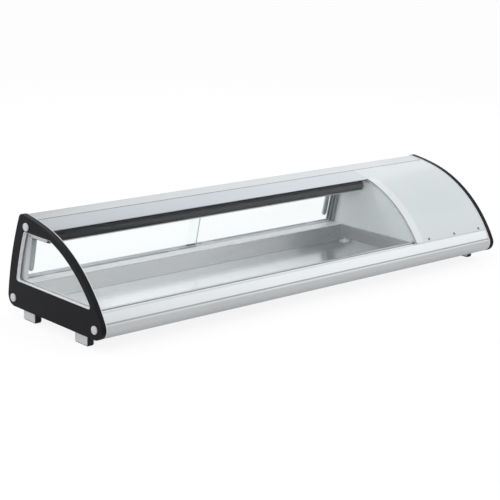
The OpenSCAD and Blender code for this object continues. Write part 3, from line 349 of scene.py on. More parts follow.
@dataclass(frozen=True)
class DrawnMetal(Finish):
    """Aluminium or steel with fine lines along one axis, from a die, a brush or a roll."""

    title: str
    low: str  # colour in the darker lines
    high: str  # colour in the lighter lines
    rough: float = 0.3  # roughness in the middle
    rough_swing: float = 0.14  # how far the roughness wanders from line to line
    along: Triple = (1.5, 260.0, 260.0)  # stretch of the lines: small along them, large across
    line_depth: float = 0.000012  # height of the lines
    metallic: float = 1.0  # share of bare metal
    shade: float = 0.0  # share of light that the shaded end loses
    shade_from: float = 0.0  # place along x where that shading starts
    shade_to: float = 1.0  # place where it is full
    line_scale: float = 2.2  # waves of the lines per metre, before the stretch
    line_share: float = 0.6  # share of the lines in the colour; soft clouds have the rest
    cloud: float = 4.0  # waves of these clouds per metre
    smear: float = 38.0  # waves of the smears per metre
    smear_swing: float = 0.03  # how far the roughness wanders with them

    def lay_out(self, desk: NodeDesk) -> None:
        """Lays the metal out.

        Args:
            desk: The desk of the new material.
        """
        lines = desk.noise(self.line_scale, self.along, 3.0)
        cloud = desk.noise(self.cloud)
        smear = (desk.noise(self.smear, detail=3.0) - 0.5) * self.smear_swing
        tone = lines * self.line_share + cloud * (1.0 - self.line_share)
        colour = desk.blend(tone, srgb(self.low), srgb(self.high))
        if self.shade:
            slope = self.shade / (self.shade_to - self.shade_from)
            colour = desk.blend((desk.along_x() - self.shade_from) * slope, colour, SHADE)
        skin = desk.add("ShaderNodeBsdfPrincipled", {
            "Base Color": colour,
            "Metallic": self.metallic,
            "Roughness": self.rough + (lines - 0.5) * self.rough_swing + smear,
            "Normal": desk.bump(lines, self.line_depth),
        })
        desk.output(skin)


@dataclass(frozen=True)
class PaintedSheet(Finish):
    """Sheet with a baked paint: a faint orange peel and soft clouds of tone."""

    title: str
    low: str  # colour in the darker clouds
    high: str  # colour in the lighter clouds
    rough: float = 0.34  # roughness in the middle
    peel: float = 420.0  # waves of the orange peel per metre
    peel_depth: float = 0.00002  # height of the orange peel
    coat: float = 0.25  # weight of the clear coat
    coat_rough: float = 0.08  # roughness of that coat
    cloud: float = 6.5  # waves of the clouds per metre
    wipe: float = 22.0  # waves of the wiped streaks per metre
    wipe_along: Triple = (0.5, 1.0, 2.0)  # stretch of these streaks
    wipe_swing: float = 0.14  # how far the roughness wanders with them

    def lay_out(self, desk: NodeDesk) -> None:
        """Lays the paint out.

        Args:
            desk: The desk of the new material.
        """
        cloud = desk.noise(self.cloud, detail=3.0)
        wipe = desk.noise(self.wipe, self.wipe_along, 4.0)
        skin = desk.add("ShaderNodeBsdfPrincipled", {
            "Base Color": desk.blend(cloud, srgb(self.low), srgb(self.high)),
            "Roughness": self.rough + (wipe - 0.5) * self.wipe_swing,
            "Coat Weight": self.coat,
            "Coat Roughness": self.coat_rough,
            "Normal": desk.bump(desk.noise(self.peel), self.peel_depth),
        })
        desk.output(skin)


@dataclass(frozen=True)
class ClearGlass(Finish):
    """A pane: clear straight through, with a reflection that grows towards the rim of sight."""

    title: str
    tint: Colour  # colour of what is seen through one face
    face_on: float = 0.012  # share that is reflected face on
    grazing: float = 0.3  # share that is added at a grazing sight
    rough: float = 0.02  # roughness of the reflection
    falloff: float = 5.0  # how steeply the reflection grows towards the rim

    def lay_out(self, desk: NodeDesk) -> None:
        """Lays the glass out.

        Args:
            desk: The desk of the new material.
        """
        turn = desk.add("ShaderNodeLayerWeight", {"Blend": 0.5})
        facing = Signal(desk, turn.outputs["Facing"])
        mirrored = self.face_on + (facing ** self.falloff) * self.grazing
        clear = desk.add("ShaderNodeBsdfTransparent", {"Color": self.tint})
        gloss = desk.add("ShaderNodeBsdfAnisotropic", {"Color": WHITE, "Roughness": self.rough})
        desk.output(desk.mixed(mirrored, clear, gloss))


class Finishes:
    """Every finish of the case, by the place where it is used."""

    CHEEK = Moulding("black_cheek_moulding", "101015", "16161C", 0.4, 0.12, specular=0.13)
    CAP = Moulding("pale_cap_moulding", "D6D6DE", "E2E2E8", 0.3, 0.1, coat=0.3)
    LINING = Moulding("pale_lining_moulding", "EDEDF2", "F6F6F9", 0.4, 0.1)
    HANDLE = Moulding("grey_handle_moulding", "C8CED0", "D7DCDD", 0.38, 0.1)
    POST = Moulding("grey_post_moulding", "8A9094", "9AA0A4", 0.42, 0.1)
    BLACK = Moulding("black_fitting_moulding", "1C1D20", "28292D", 0.44, 0.14)
    # black rubber for the grommets; on the feet its black stands for the shade on their front
    # faces: painted shade
    RUBBER_AND_FOOT_SHADE = Moulding("foot_rubber", "1E1E1F", "2B2B2C", 0.7, 0.16, 900.0, 0.00006)
    BUTTON = Moulding("pale_button_moulding", "C9CBD2", "DADCE2", 0.35, 0.1)
    ANODISED = DrawnMetal("anodised_profile", "CFD2D4", "E2E4E6", 0.34, 0.1)
    GROOVE = DrawnMetal("shaded_groove", "A2A6A9", "B9BDC0", 0.45, 0.1)
    CROWN = DrawnMetal("anodised_crown", "C2C5C7", "D6D9DB", 0.34, 0.1,
                       shade=0.16, shade_from=0.4, shade_to=-0.75)
    TRIM = DrawnMetal("anodised_trim", "B8BEC3", "CDD3D8", 0.32, 0.1,
                      shade=0.22, shade_from=0.4, shade_to=-0.75)
    MILL = DrawnMetal("mill_aluminium", "B4B8BC", "D0D3D6", 0.34, 0.16)
    WELL = DrawnMetal("brushed_well_steel", "DEE0E2", "EEF0F1", 0.19, 0.08, (1.2, 180.0, 180.0),
                      0.000008, 0.82, shade=0.3, shade_from=-0.1, shade_to=0.42)
    # darker copy of the well's steel for the faces that look to the front, chiefly the rear wall,
    # with stronger shading along x: painted shade
    SHADED_WALL_STEEL = DrawnMetal("brushed_steel_painted_shade", "D2D4D6", "E4E6E8", 0.22, 0.08, (1.2, 180.0, 180.0),
                      0.000008, 0.82, shade=0.56, shade_from=-0.68, shade_to=0.36)
    BRIGHT = DrawnMetal("bright_foot_steel", "DCDEE2", "EEEFF2", 0.4, 0.1, metallic=0.5)
    FINS = DrawnMetal("fin_aluminium", "9DA2A6", "C2C6C9", 0.4, 0.16, (60.0, 60.0, 4.0))
    SCREW = DrawnMetal("zinc_screw", "6E7274", "8C9092", 0.32, 0.14, (90.0, 90.0, 90.0))
    COPPER = DrawnMetal("copper_pipe", "A9623F", "C9805A", 0.3, 0.2, (30.0, 30.0, 30.0))
    COVER = PaintedSheet("painted_cover_sheet", "DBE5E7", "E6EDEF")
    # near-white colour for the sill, the track ribs and the well's front apron, lighter than the
    # metal they belong to, where shade falls on them: painted light
    PALE_PAINTED_LIGHT = PaintedSheet("pale_sill_painted_light", "F6F8FA", "FDFEFF", 0.3)
    STRIP = PaintedSheet("pale_edge_strip", "EAF0F2", "F3F6F8", 0.28)
    PARTITION = PaintedSheet("painted_partition", "EFF7F8", "F5FAFB", 0.3)
    PAN = PaintedSheet("painted_base_pan", "B6BBBC", "C6CBCC", 0.45)
    GRILLE = PaintedSheet("dark_grille_sheet", "34373A", "404448", 0.45)
    SHROUD = Moulding("black_shroud_paint", "0C1218", "141C23", 0.5, 0.1, specular=0.04)
    ENAMEL = PaintedSheet("compressor_enamel", "141517", "1F2022", 0.26, coat=0.5)
    FOAM = Moulding("pale_foam", "D2D5D4", "E2E4E2", 0.85, 0.1, 500.0, 0.0003)
    LENS = Moulding("dark_display_lens", "160808", "220D0D", 0.08, 0.03, 200.0, 0.000002,
                    coat=0.8)
    GLASS = ClearGlass("curved_pane_glass", (0.992, 0.997, 0.996))
    DOOR_GLASS = ClearGlass("door_glass", (0.985, 0.994, 0.996), 0.02)
    GLASS_EDGE = Moulding("polished_glass_edge", "CBD7D7", "DDE6E6", 0.15, 0.05, 300.0,
                          0.00001, coat=0.5)


# ---- section


@dataclass(frozen=True)
class Fillet:
    """A rounded corner of a section."""

    centre: Vector  # centre of the corner's arc, as depth and height
    first: Vector  # point where the corner leaves the first edge
    second: Vector  # point where it meets the second edge


@dataclass(frozen=True)
class CaseSection:
    """Arcs of the case's cross section. Points are depth and height."""

    depth: float = 0.415  # depth of the case from nose to heel
    front_radius: float = 0.392  # radius of the curved front
    crown_radius: float = 0.760  # radius of the flatter crown
    crown_angle: float = 13.6  # degrees from straight up where both meet
    front_rise: float = 0.250  # height of the front's crest above the cheeks' lower edge
    rear_radius: float = 0.799  # radius of the bowed rear
    rear_drop: float = 0.065  # depth of the rear centre under the cheeks' lower edge
    foot_height: float = 0.031  # height of the cheeks' lower edge
    nose_radius: float = 0.028  # radius of nose and heel
    back_radius: float = 0.015  # radius of the top rear corner

    @property
    def front(self) -> Vector:
        """Centre of the curved front.

        Returns:
            The centre.
        """
        drop = self.front_radius - self.front_rise
        reach = math.sqrt((self.front_radius - self.nose_radius) ** 2
                          - (self.nose_radius + drop) ** 2)
        return Vector((self.nose_radius - self.depth / 2 + reach, self.foot_height - drop))

    @property
    def crown(self) -> Vector:
        """Centre of the crown.

        Returns:
            The centre.
        """
        turn = math.radians(self.crown_angle)
        away = self.crown_radius - self.front_radius
        return self.front - away * Vector((-math.sin(turn), math.cos(turn)))

    @property
    def rear(self) -> Vector:
        """Centre of the bowed rear."""
        reach = math.sqrt((self.rear_radius - self.nose_radius) ** 2
                          - (self.nose_radius + self.rear_drop) ** 2)
        return Vector((self.depth / 2 - self.nose_radius - reach,
                       self.foot_height - self.rear_drop))

    def front_at(self, depth: float, height: float) -> Vector:
        """Point of the curved front at a height.

        Args:
            depth: How far under the cheek's edge.
            height: Height of the point.

        Returns:
            The point.
        """
        front, radius = self.front, self.front_radius - depth
        return Vector((front.x - math.sqrt(radius ** 2 - (height - front.y) ** 2), height))

    def rear_at(self, depth: float, height: float) -> Vector:
        """Point of the bowed rear at a height.

        Args:
            depth: How far under the cheek's edge.
            height: Height of the point.

        Returns:
            The point.
        """
        rear, radius = self.rear, self.rear_radius - depth
        return Vector((rear.x + math.sqrt(radius ** 2 - (height - rear.y) ** 2), height))

    def top_at(self, depth: float, y: float) -> Vector:
        """Point of front or crown at a place between nose and heel.

        Args:
            depth: How far under the cheek's edge.
            y: Place of the point.

        Returns:
            The point.
        """
        behind = y > self.seam(depth).x
        centre = self.crown if behind else self.front
        radius = (self.crown_radius if behind else self.front_radius) - depth
        return Vector((y, centre.y + math.sqrt(radius ** 2 - (y - centre.x) ** 2)))

    def seam(self, depth: float) -> Vector:
        """Point where the front arc turns into the crown.

        Args:
            depth: How far under the cheek's edge.

        Returns:
            The point.
        """
        turn = math.radians(self.crown_angle)
        return self.front + (self.front_radius - depth) * Vector((-math.sin(turn), math.cos(turn)))

    def level_corner(self, centre: Vector, radius: float, side: int, level: float, up: int,
                     fillet: float) -> Fillet:
        """Rounded corner between an arc and a level edge.

        Args:
            centre: Centre of the arc.
            radius: Radius of the arc.
            side: 1 on the rear side of that arc and -1 on its front side.
            level: Height of the level edge.
            up: 1 where the corner lies above the edge and -1 below it.
            fillet: Radius of the corner.

        Returns:
            The corner, with its point on the arc first.
        """
        z = level + up * fillet
        reach = math.sqrt((radius - fillet) ** 2 - (z - centre.y) ** 2)
        middle = Vector((centre.x + side * reach, z))
        return Fillet(middle, centre + radius * (middle - centre).normalized(),
                      Vector((middle.x, level)))

    def nose(self, depth: float) -> Fillet:
        """Corner between the curved front and the lower edge."""
        return self.level_corner(self.front, self.front_radius - depth, -1,
                                 self.foot_height + depth, 1, self.nose_radius - depth)

    def heel(self, depth: float) -> Fillet:
        """Corner between the bowed rear and the lower edge."""
        return self.level_corner(self.rear, self.rear_radius - depth, 1,
                                 self.foot_height + depth, 1, self.nose_radius - depth)

    def back(self, depth: float) -> Fillet:
        """Corner between the bowed rear and the crown, with its point on the rear first.

        Args:
            depth: How far under the cheek's edge.

        Returns:
            The corner.
        """
        first, second = self.rear_radius - self.back_radius, self.crown_radius - self.back_radius
        way = self.crown - self.rear
        along = (way.length_squared + first ** 2 - second ** 2) / (2 * way.length)
        rise = math.sqrt(first ** 2 - along ** 2)
        unit = way.normalized()
        middle = self.rear + along * unit + rise * Vector((-unit.y, unit.x))
        return Fillet(middle,
                      self.rear + (self.rear_radius - depth) * (middle - self.rear).normalized(),
                      self.crown + (self.crown_radius - depth) * (middle - self.crown).normalized())


SECTION = CaseSection()


# ---- workpiece


ARC_SAG = 0.00004  # greatest distance between an arc and its chords
CHORD_LIMIT = 0.05  # the same as a share of the radius
SAME_POINT = 1e-5  # points closer than this are one
WELD = 2e-5  # distance at which the ends of a line are joined
AXIS_WELD = 1e-6  # distance at which points on a turning axis are joined
BEND_ANGLE = 0.3  # least angle of a bend in a sheet, in radians
CREASE_ANGLE = 0.7  # edges under this angle are shaded smooth
FACING = 0.5  # least part of a unit normal along the way that a face looks
EDGE_ON = 0.6  # greatest part of it across a pane, on the pane's edge faces


class Plane(Enum):
    """Planes that a shape is drawn in. The shape is pulled along the third direction."""

    SECTION = Matrix(((0, 0, 1, 0), (1, 0, 0, 0), (0, 1, 0, 0), (0, 0, 0, 1)))
    FRONT = Matrix(((1, 0, 0, 0), (0, 0, -1, 0), (0, 1, 0, 0), (0, 0, 0, 1)))


def verts_in(geometry: Iterable[object]) -> list[bmesh.types.BMVert]:
    """The vertices among the elements that an operator made."""
    return [item for item in geometry if isinstance(item, bmesh.types.BMVert)]


class Workpiece:
    """A mesh under work: drawn with a pen, pulled, turned, thickened and softened."""

    def __init__(self) -> None:
        """Starts with an empty mesh."""
        self.bm = bmesh.new()
        self.start_vert: Optional[bmesh.types.BMVert] = None
        self.tip: Optional[bmesh.types.BMVert] = None

    # drawing

    def start(self, x: float, y: float) -> "Workpiece":
        """Puts the pen down at a point of the drawing plane.

        Args:
            x: Place along the drawing plane's first axis.
            y: Place along its second axis.

        Returns:
            Itself.
        """
        self.start_vert = bmesh.ops.create_vert(self.bm, co=(x, y, 0.0))["vert"][0]
        self.tip = self.start_vert
        return self

    def line(self, x: float, y: float) -> "Workpiece":
        """Draws a straight line to a point.

        Args:
            x: Place along the drawing plane's first axis.
            y: Place along its second axis.

        Returns:
            Itself.
        """
        grown = bmesh.ops.extrude_vert_indiv(self.bm, verts=[self.tip])["verts"][0]
        bmesh.ops.translate(self.bm, verts=[grown], vec=Vector((x, y, 0.0)) - grown.co)
        self.tip = grown
        return self

    def lines(self, *points: Sequence[float]) -> "Workpiece":
        """Draws straight lines from point to point."""
        for point in points:
            self.line(*point)
        return self

    def rectangle(self, left: float, low: float, right: float, high: float) -> "Workpiece":
        """Draws a rectangle between its edges."""
        return self.start(left, low).lines((right, low), (right, high), (left, high)).close()

    def arc(self, centre: Vector, end: Vector) -> "Workpiece":
        """Draws an arc of less than half a turn.

        Args:
            centre: Centre of the arc.
            end: Where it ends.

        Returns:
            Itself.
        """
        here = self.tip.co.xy - centre
        sweep = math.remainder(math.atan2(*(end - centre).yx) - math.atan2(*here.yx), math.tau)
        finest = 2.0 * math.acos(1.0 - min(ARC_SAG / here.length, CHORD_LIMIT))
        spun = bmesh.ops.spin(self.bm, geom=[self.tip], cent=(*centre, 0.0), axis=(0.0, 0.0, 1.0),
                              angle=sweep, steps=max(2, math.ceil(abs(sweep) / finest)))
        self.tip = verts_in(spun["geom_last"])[0]
        return self

    def close(self) -> "Workpiece":
        """Joins the pen's end to its start.

        Returns:
            Itself.
        """
        if (self.tip.co - self.start_vert.co).length > SAME_POINT:
            self.line(*self.start_vert.co.xy)
        bmesh.ops.remove_doubles(self.bm, verts=[self.tip, self.start_vert], dist=WELD)
        return self

    def circle(self, centre: Sequence[float], radius: float, steps: int = 32) -> "Workpiece":
        """Draws a circle as a loop of edges."""
        bmesh.ops.create_circle(self.bm, segments=steps, radius=radius,
                                matrix=Matrix.Translation((*centre, 0.0)))
        return self

    # solids

    def pull(self, low: float, high: float) -> "Workpiece":
        """Fills the loops drawn, with the inner ones as holes, and pulls them into a solid.

        Args:
            low: Where the solid starts, across the drawing plane.
            high: Where it ends.

        Returns:
            Itself.
        """
        bm = self.bm
        filled = bmesh.ops.triangle_fill(bm, use_beauty=True, edges=list(bm.edges),
                                         normal=(0, 0, 1))
        faces = [f for f in filled["geom"] if isinstance(f, bmesh.types.BMFace)]
        bmesh.ops.translate(bm, verts=list(bm.verts), vec=(0.0, 0.0, low))
        grown = bmesh.ops.extrude_face_region(bm, geom=faces, use_keep_orig=True)["geom"]
        bmesh.ops.translate(bm, verts=verts_in(grown), vec=(0.0, 0.0, high - low))
        bmesh.ops.recalc_face_normals(bm, faces=list(bm.faces))
        return self

    def sheet(self, span: Sequence[float], wall: float, bend: float = 0.0) -> "Workpiece":
        """Pulls the drawn line into a sheet and gives it a wall to the right of the pen's way.

        Args:
            span: Where the sheet starts and ends, across the drawing plane.
            wall: Thickness of the sheet.
            bend: Radius of its bends.

        Returns:
            Itself.
        """
        bm = self.bm
        path = list(bm.edges)
        bmesh.ops.translate(bm, verts=list(bm.verts), vec=(0.0, 0.0, span[0]))
        grown = bmesh.ops.extrude_edge_only(bm, edges=path)["geom"]
        bmesh.ops.translate(bm, verts=verts_in(grown), vec=(0.0, 0.0, span[1] - span[0]))
        if bend:
            self.rounded([e for e in bm.edges if len(e.link_faces) == 2
                          and e.link_faces[0].normal.angle(e.link_faces[1].normal) > BEND_ANGLE],
                         bend, 4)
        bm.normal_update()
        bmesh.ops.solidify(bm, geom=list(bm.faces), thickness=wall)
        bmesh.ops.recalc_face_normals(bm, faces=list(bm.faces))
        return self

    def skin(self, span: Sequence[float], wall: float, edge: float = 0.0, segments: int = 3,
             bend: float = 0.0) -> "Workpiece":
        """Pulls a line of the case's section along the case into a sheet.

        Args:
            span: Where the sheet starts and ends along the case.
            wall: Thickness of the sheet.
            edge: Radius of its edges.
            segments: Number of segments of that rounding.
            bend: Radius of its bends.

        Returns:
            Itself.
        """
        self.sheet(span, wall, bend)
        if edge:
            self.soften(edge, segments)
        return self.laid(Plane.SECTION)

    def turn(self, steps: int = 48) -> "Workpiece":
        """Turns the drawn line round the drawing plane's y axis into a solid.

        Args:
            steps: Number of steps of the full turn.

        Returns:
            Itself.
        """
        bmesh.ops.spin(self.bm, geom=list(self.bm.verts) + list(self.bm.edges),
                       cent=(0.0, 0.0, 0.0), axis=(0.0, 1.0, 0.0), angle=math.tau, steps=steps,
                       use_merge=True)
        bmesh.ops.remove_doubles(self.bm, verts=list(self.bm.verts), dist=AXIS_WELD)
        bmesh.ops.recalc_face_normals(self.bm, faces=list(self.bm.faces))
        return self

    def block(self, low: Sequence[float], high: Sequence[float]) -> "Workpiece":
        """Adds a block between two corners.

        Args:
            low: Its lowest corner.
            high: Its highest corner.

        Returns:
            Itself.
        """
        low, high = Vector(low), Vector(high)
        size = high - low
        bmesh.ops.create_cube(self.bm, size=1.0, matrix=Matrix.Translation((low + high) / 2)
                              @ Matrix.Diagonal((*size, 1.0)))
        return self

    # finishing

    def rounded(self, edges: list[bmesh.types.BMEdge], radius: float, segments: int) -> None:
        """Rounds the named edges.

        Args:
            edges: The edges.
            radius: Radius of the rounding.
            segments: Number of its segments.
        """
        bmesh.ops.bevel(self.bm, geom=edges, offset=radius, affect="EDGES", segments=segments,
                        profile=0.5, material=-1, clamp_overlap=True)

    def soften(self, radius: float, segments: int = 2, sharper_than: float = 0.6,
               only: Optional[Callable[[bmesh.types.BMEdge], bool]] = None) -> "Workpiece":
        """Rounds the sharp edges.

        Args:
            radius: Radius of the rounding.
            segments: Number of its segments.
            sharper_than: Least angle between the faces of an edge, in radians.
            only: Test that an edge also has to pass.

        Returns:
            Itself.
        """
        self.bm.normal_update()
        self.rounded([e for e in self.bm.edges if len(e.link_faces) == 2
                      and e.calc_face_angle(0.0) > sharper_than and (only is None or only(e))],
                     radius, segments)
        return self

    def moved(self, matrix: Matrix) -> "Workpiece":
        """Places the workpiece with a matrix."""
        bmesh.ops.transform(self.bm, matrix=matrix, verts=list(self.bm.verts))
        return self

    def laid(self, plane: Plane) -> "Workpiece":
        """Lays the drawing plane into one of the case's planes."""
        return self.moved(plane.value)

    def painted(self, slot: int,
                where: Optional[Callable[[bmesh.types.BMFace], bool]] = None) -> "Workpiece":
        """Gives faces another finish of the piece.

        Args:
            slot: Number of that finish.
            where: Test for the faces, or none for all of them.

        Returns:
            Itself.
        """
        self.bm.normal_update()
        for face in self.bm.faces:
            if where is None or where(face):
                face.material_index = slot
        return self

    def piece(self, name: str, finishes: Sequence[Finish]) -> bpy.types.Object:
        """Turns the workpiece into an object at the origin.

        Args:
            name: Name of the object.
            finishes: Its finishes, by slot.

        Returns:
            The object.
        """
        mesh = bpy.data.meshes.new(name)
        for face in self.bm.faces:
            face.smooth = True
        self.bm.normal_update()
        for edge in self.bm.edges:
            edge.smooth = edge.calc_face_angle(0.0) < CREASE_ANGLE
        self.bm.to_mesh(mesh)
        self.bm.free()
        made = bpy.data.objects.new(name, mesh)
        bpy.context.scene.collection.objects.link(made)
        for finish in finishes:
            mesh.materials.append(finish.material())
        weighted = made.modifiers.new("weighted_normals", "WEIGHTED_NORMAL")
        weighted.keep_sharp = True
        LOG.info("%s: %d faces", name, len(mesh.polygons))
        return made


def together(parts: Iterable[Workpiece]) -> Workpiece:
    """One workpiece of several.

    Args:
        parts: The workpieces, which are used up.

    Returns:
        The joined workpiece.
    """
    joined = Workpiece()
    for part in parts:
        passing = bpy.data.meshes.new("passing")
        part.bm.to_mesh(passing)
        part.bm.free()
        joined.bm.from_mesh(passing)
        bpy.data.meshes.remove(passing)
    return joined


def installed(work: Workpiece, name: str, finishes: Sequence[Finish], slot: str, *nodes: str,
              body: str = "case") -> None:
    """Turns a workpiece into a piece that rides on a body and stands for CAD nodes.

    Args:
        work: The workpiece, which is used up.
        name: Name of the piece.
        finishes: Its finishes, by slot of the mesh.
        slot: Material slot of the record; not used.
        *nodes: CAD nodes that it stands for.
        body: Name of the body.
    """
    made = work.piece(name, finishes)
    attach(made, body)
    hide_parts(*nodes)


def dressed(finish: Finish, *nodes: str) -> None:
    """Dresses CAD nodes that stay in sight.

    Args:
        finish: The finish.
        *nodes: Names of the nodes.
    """
    for name in nodes:
        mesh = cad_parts[name].data
        mesh.materials.clear()
        mesh.materials.append(finish.material())
        LOG.info("%s keeps its CAD mesh", name)


# ---- assemblies


FRONT_BOLT = (-0.1795, 0.057)
REAR_BOLT = (0.1815, 0.054)
TOP_BOLT = (0.117, 0.255)


class Edge:
    """Radii of the rounded edges."""

    CUT = 0.0003  # cut and folded sheet, and the plug
    FINE = 0.0004  # strips, ribs and the end pane
    CLEAN = 0.0005  # linings, posts and the cover
    GROUND = 0.0006  # front glass, sill and handles
    DRAWN = 0.0007  # skins of the profiles and the doors' panes


def between(side: int, near: float, far: float) -> list[float]:
    """The span between two distances from the middle, on one side, with its low end first."""
    return sorted((side * near, side * far))


def pair(make: Callable[[int], Workpiece]) -> Workpiece:
    """One workpiece of what stands at both ends, which are -1 and 1."""
    return together([make(-1), make(1)])


@dataclass
class EndCheeks:
    """Black end mouldings with their caps, light strips, window linings and the end pane."""

    outer: float = 0.750  # half the length over both cheeks
    inner: float = 0.735  # half the length between them
    rabbet: float = 0.004  # depth of the recess for the pane
    rabbet_width: float = 0.007  # how far the recess reaches round the window
    window_low: float = 0.102  # height of the window's lower edge
    window_high: float = 0.241  # height of its upper edge
    window_corner: float = 0.008  # radius of its corners
    front_rim: float = 0.0166  # width of the rim in front of the window
    rear_rim: float = 0.031  # width of the rim behind it
    edge: float = 0.0016  # radius of the moulding's edges
    cap_radius: float = 0.011  # radius of a bolt cap
    cap_proud: float = 0.005  # height of a cap over the cheek
    cap_rise: float = 0.0016  # height of its dome
    cap_edge: float = 0.0009  # radius of its edge
    cap_seat: float = 0.0012  # depth of the cap's seat
    strip_width: float = 0.003  # width of the light strip
    strip_step: float = 0.001  # how far that strip lies under the cheek's edge
    strip_ring: float = 0.012  # width of its ring
    lining_wall: float = 0.0016  # wall of the window lining
    play: float = 0.0003  # gap round fitted pieces
    # places of the cheek bolts
    bolts: tuple[tuple[float, float], ...] = (FRONT_BOLT, REAR_BOLT, TOP_BOLT)

    def outline(self, pen: Workpiece, depth: float) -> Workpiece:
        """Draws the cheek's outline, pulled in by a depth.

        Args:
            pen: The workpiece to draw on.
            depth: How far under the cheek's edge.

        Returns:
            The workpiece.
        """
        nose, heel, back = SECTION.nose(depth), SECTION.heel(depth), SECTION.back(depth)
        return (pen.start(*nose.second).line(*heel.second).arc(heel.centre, heel.first)
                .arc(SECTION.rear, back.first).arc(back.centre, back.second)
                .arc(SECTION.crown, SECTION.seam(depth)).arc(SECTION.front, nose.first)
                .arc(nose.centre, nose.second).close())

    def window(self, pen: Workpiece, depth: float) -> Workpiece:
        """Draws the window, pulled in by a depth.

        Args:
            pen: The workpiece to draw on.
            depth: How far inside the window's edge.

        Returns:
            The workpiece.
        """
        front = (SECTION.front, SECTION.front_radius - self.front_rim - depth, -1)
        rear = (SECTION.rear, SECTION.rear_radius - self.rear_rim - depth, 1)
        low, high = (self.window_low + depth, 1), (self.window_high - depth, -1)
        front_low, rear_low, rear_high, front_high = (
            SECTION.level_corner(*arc, *level, self.window_corner - depth)
            for arc, level in ((front, low), (rear, low), (rear, high), (front, high)))
        return (pen.start(*front_low.second).line(*rear_low.second)
                .arc(rear_low.centre, rear_low.first).arc(SECTION.rear, rear_high.first)
                .arc(rear_high.centre, rear_high.second).line(*front_high.second)
                .arc(front_high.centre, front_high.first).arc(SECTION.front, front_low.first)
                .arc(front_low.centre, front_low.second).close())

    def cheek(self, side: int) -> Workpiece:
        """One cheek: the outer plate and the thinner frame behind it.

        Args:
            side: -1 for the left end and 1 for the right one.

        Returns:
            The cheek.
        """
        step = self.inner + self.rabbet
        plate = self.window(self.outline(Workpiece(), 0.0), 0.0)
        plate.pull(*between(side, step, self.outer)).soften(self.edge, 3)
        ring = self.window(self.outline(Workpiece(), self.play), -self.rabbet_width)
        ring.pull(*between(side, self.inner, step))
        return together((plate, ring)).laid(Plane.SECTION)

    def caps(self, side: int) -> Workpiece:
        """The three domed caps of one cheek.

        Args:
            side: -1 for the left end and 1 for the right one.

        Returns:
            The caps.
        """
        dome = (self.cap_radius ** 2 + self.cap_rise ** 2) / (2 * self.cap_rise)
        made = []
        for y, z in self.bolts:
            cap = (Workpiece().start(0.0, -self.cap_seat)
                   .lines((self.cap_radius, -self.cap_seat),
                          (self.cap_radius, self.cap_proud - self.cap_rise))
                   .arc(Vector((0.0, self.cap_proud - dome)), Vector((0.0, self.cap_proud))))
            cap.turn().soften(self.cap_edge, 3)
            made.append(cap.moved(Matrix.Translation((side * self.outer, y, z))
                                  @ Matrix.Rotation(-side * math.pi / 2, 4, "Z")))
        return together(made)

    def strip(self, side: int) -> Workpiece:
        """Light strip between a cheek and all that ends there.

        Args:
            side: -1 for the left end and 1 for the right one.

        Returns:
            The strip.
        """
        ring = self.outline(Workpiece(), self.strip_step)
        self.outline(ring, self.strip_step + self.strip_ring)
        ring.pull(*between(side, self.inner - self.strip_width, self.inner))
        return ring.soften(Edge.FINE).laid(Plane.SECTION)

    def lining(self, side: int) -> Workpiece:
        """Pale lining of one window.

        Args:
            side: -1 for the left end and 1 for the right one.

        Returns:
            The lining.
        """
        ring = self.window(Workpiece(), self.play)
        self.window(ring, self.play + self.lining_wall)
        ring.pull(*between(side, self.inner + self.rabbet, self.outer - self.strip_step))
        return ring.soften(Edge.CLEAN).laid(Plane.SECTION)

    def pane(self) -> Workpiece:
        """The pane in the left cheek, with its ground edges.

        Returns:
            The pane.
        """
        sheet = self.window(Workpiece(), self.play - self.rabbet_width)
        sheet.pull(-self.inner - self.rabbet + self.play / 2, -self.inner).soften(Edge.FINE)
        sheet.painted(1, lambda face: abs(face.normal.z) < FACING)
        return sheet.laid(Plane.SECTION)

    def build(self) -> None:
        """Builds and dresses everything at both ends."""
        for side, name in ((-1, "left_cheek"), (1, "right_cheek")):
            installed(self.cheek(side), f"{name}_moulding", [Finishes.CHEEK], "cheek_plastic", name)
        for make, name, finish, node in (
                (self.caps, "bolt_caps", Finishes.CAP, "cheek_caps"),
                (self.strip, "light_strips", Finishes.LINING, "end_strips"),
                (self.lining, "window_linings", Finishes.LINING, "window_trims")):
            installed(pair(make), name, [finish], "light_plastic", node)
        installed(self.pane(), "end_pane", [Finishes.GLASS, Finishes.GLASS_EDGE], "clear_glass",
                  "left_end_pane")
        dressed(Finishes.SCREW, "cheek_bolts")
        dressed(Finishes.GRILLE, "machine_side_panel")


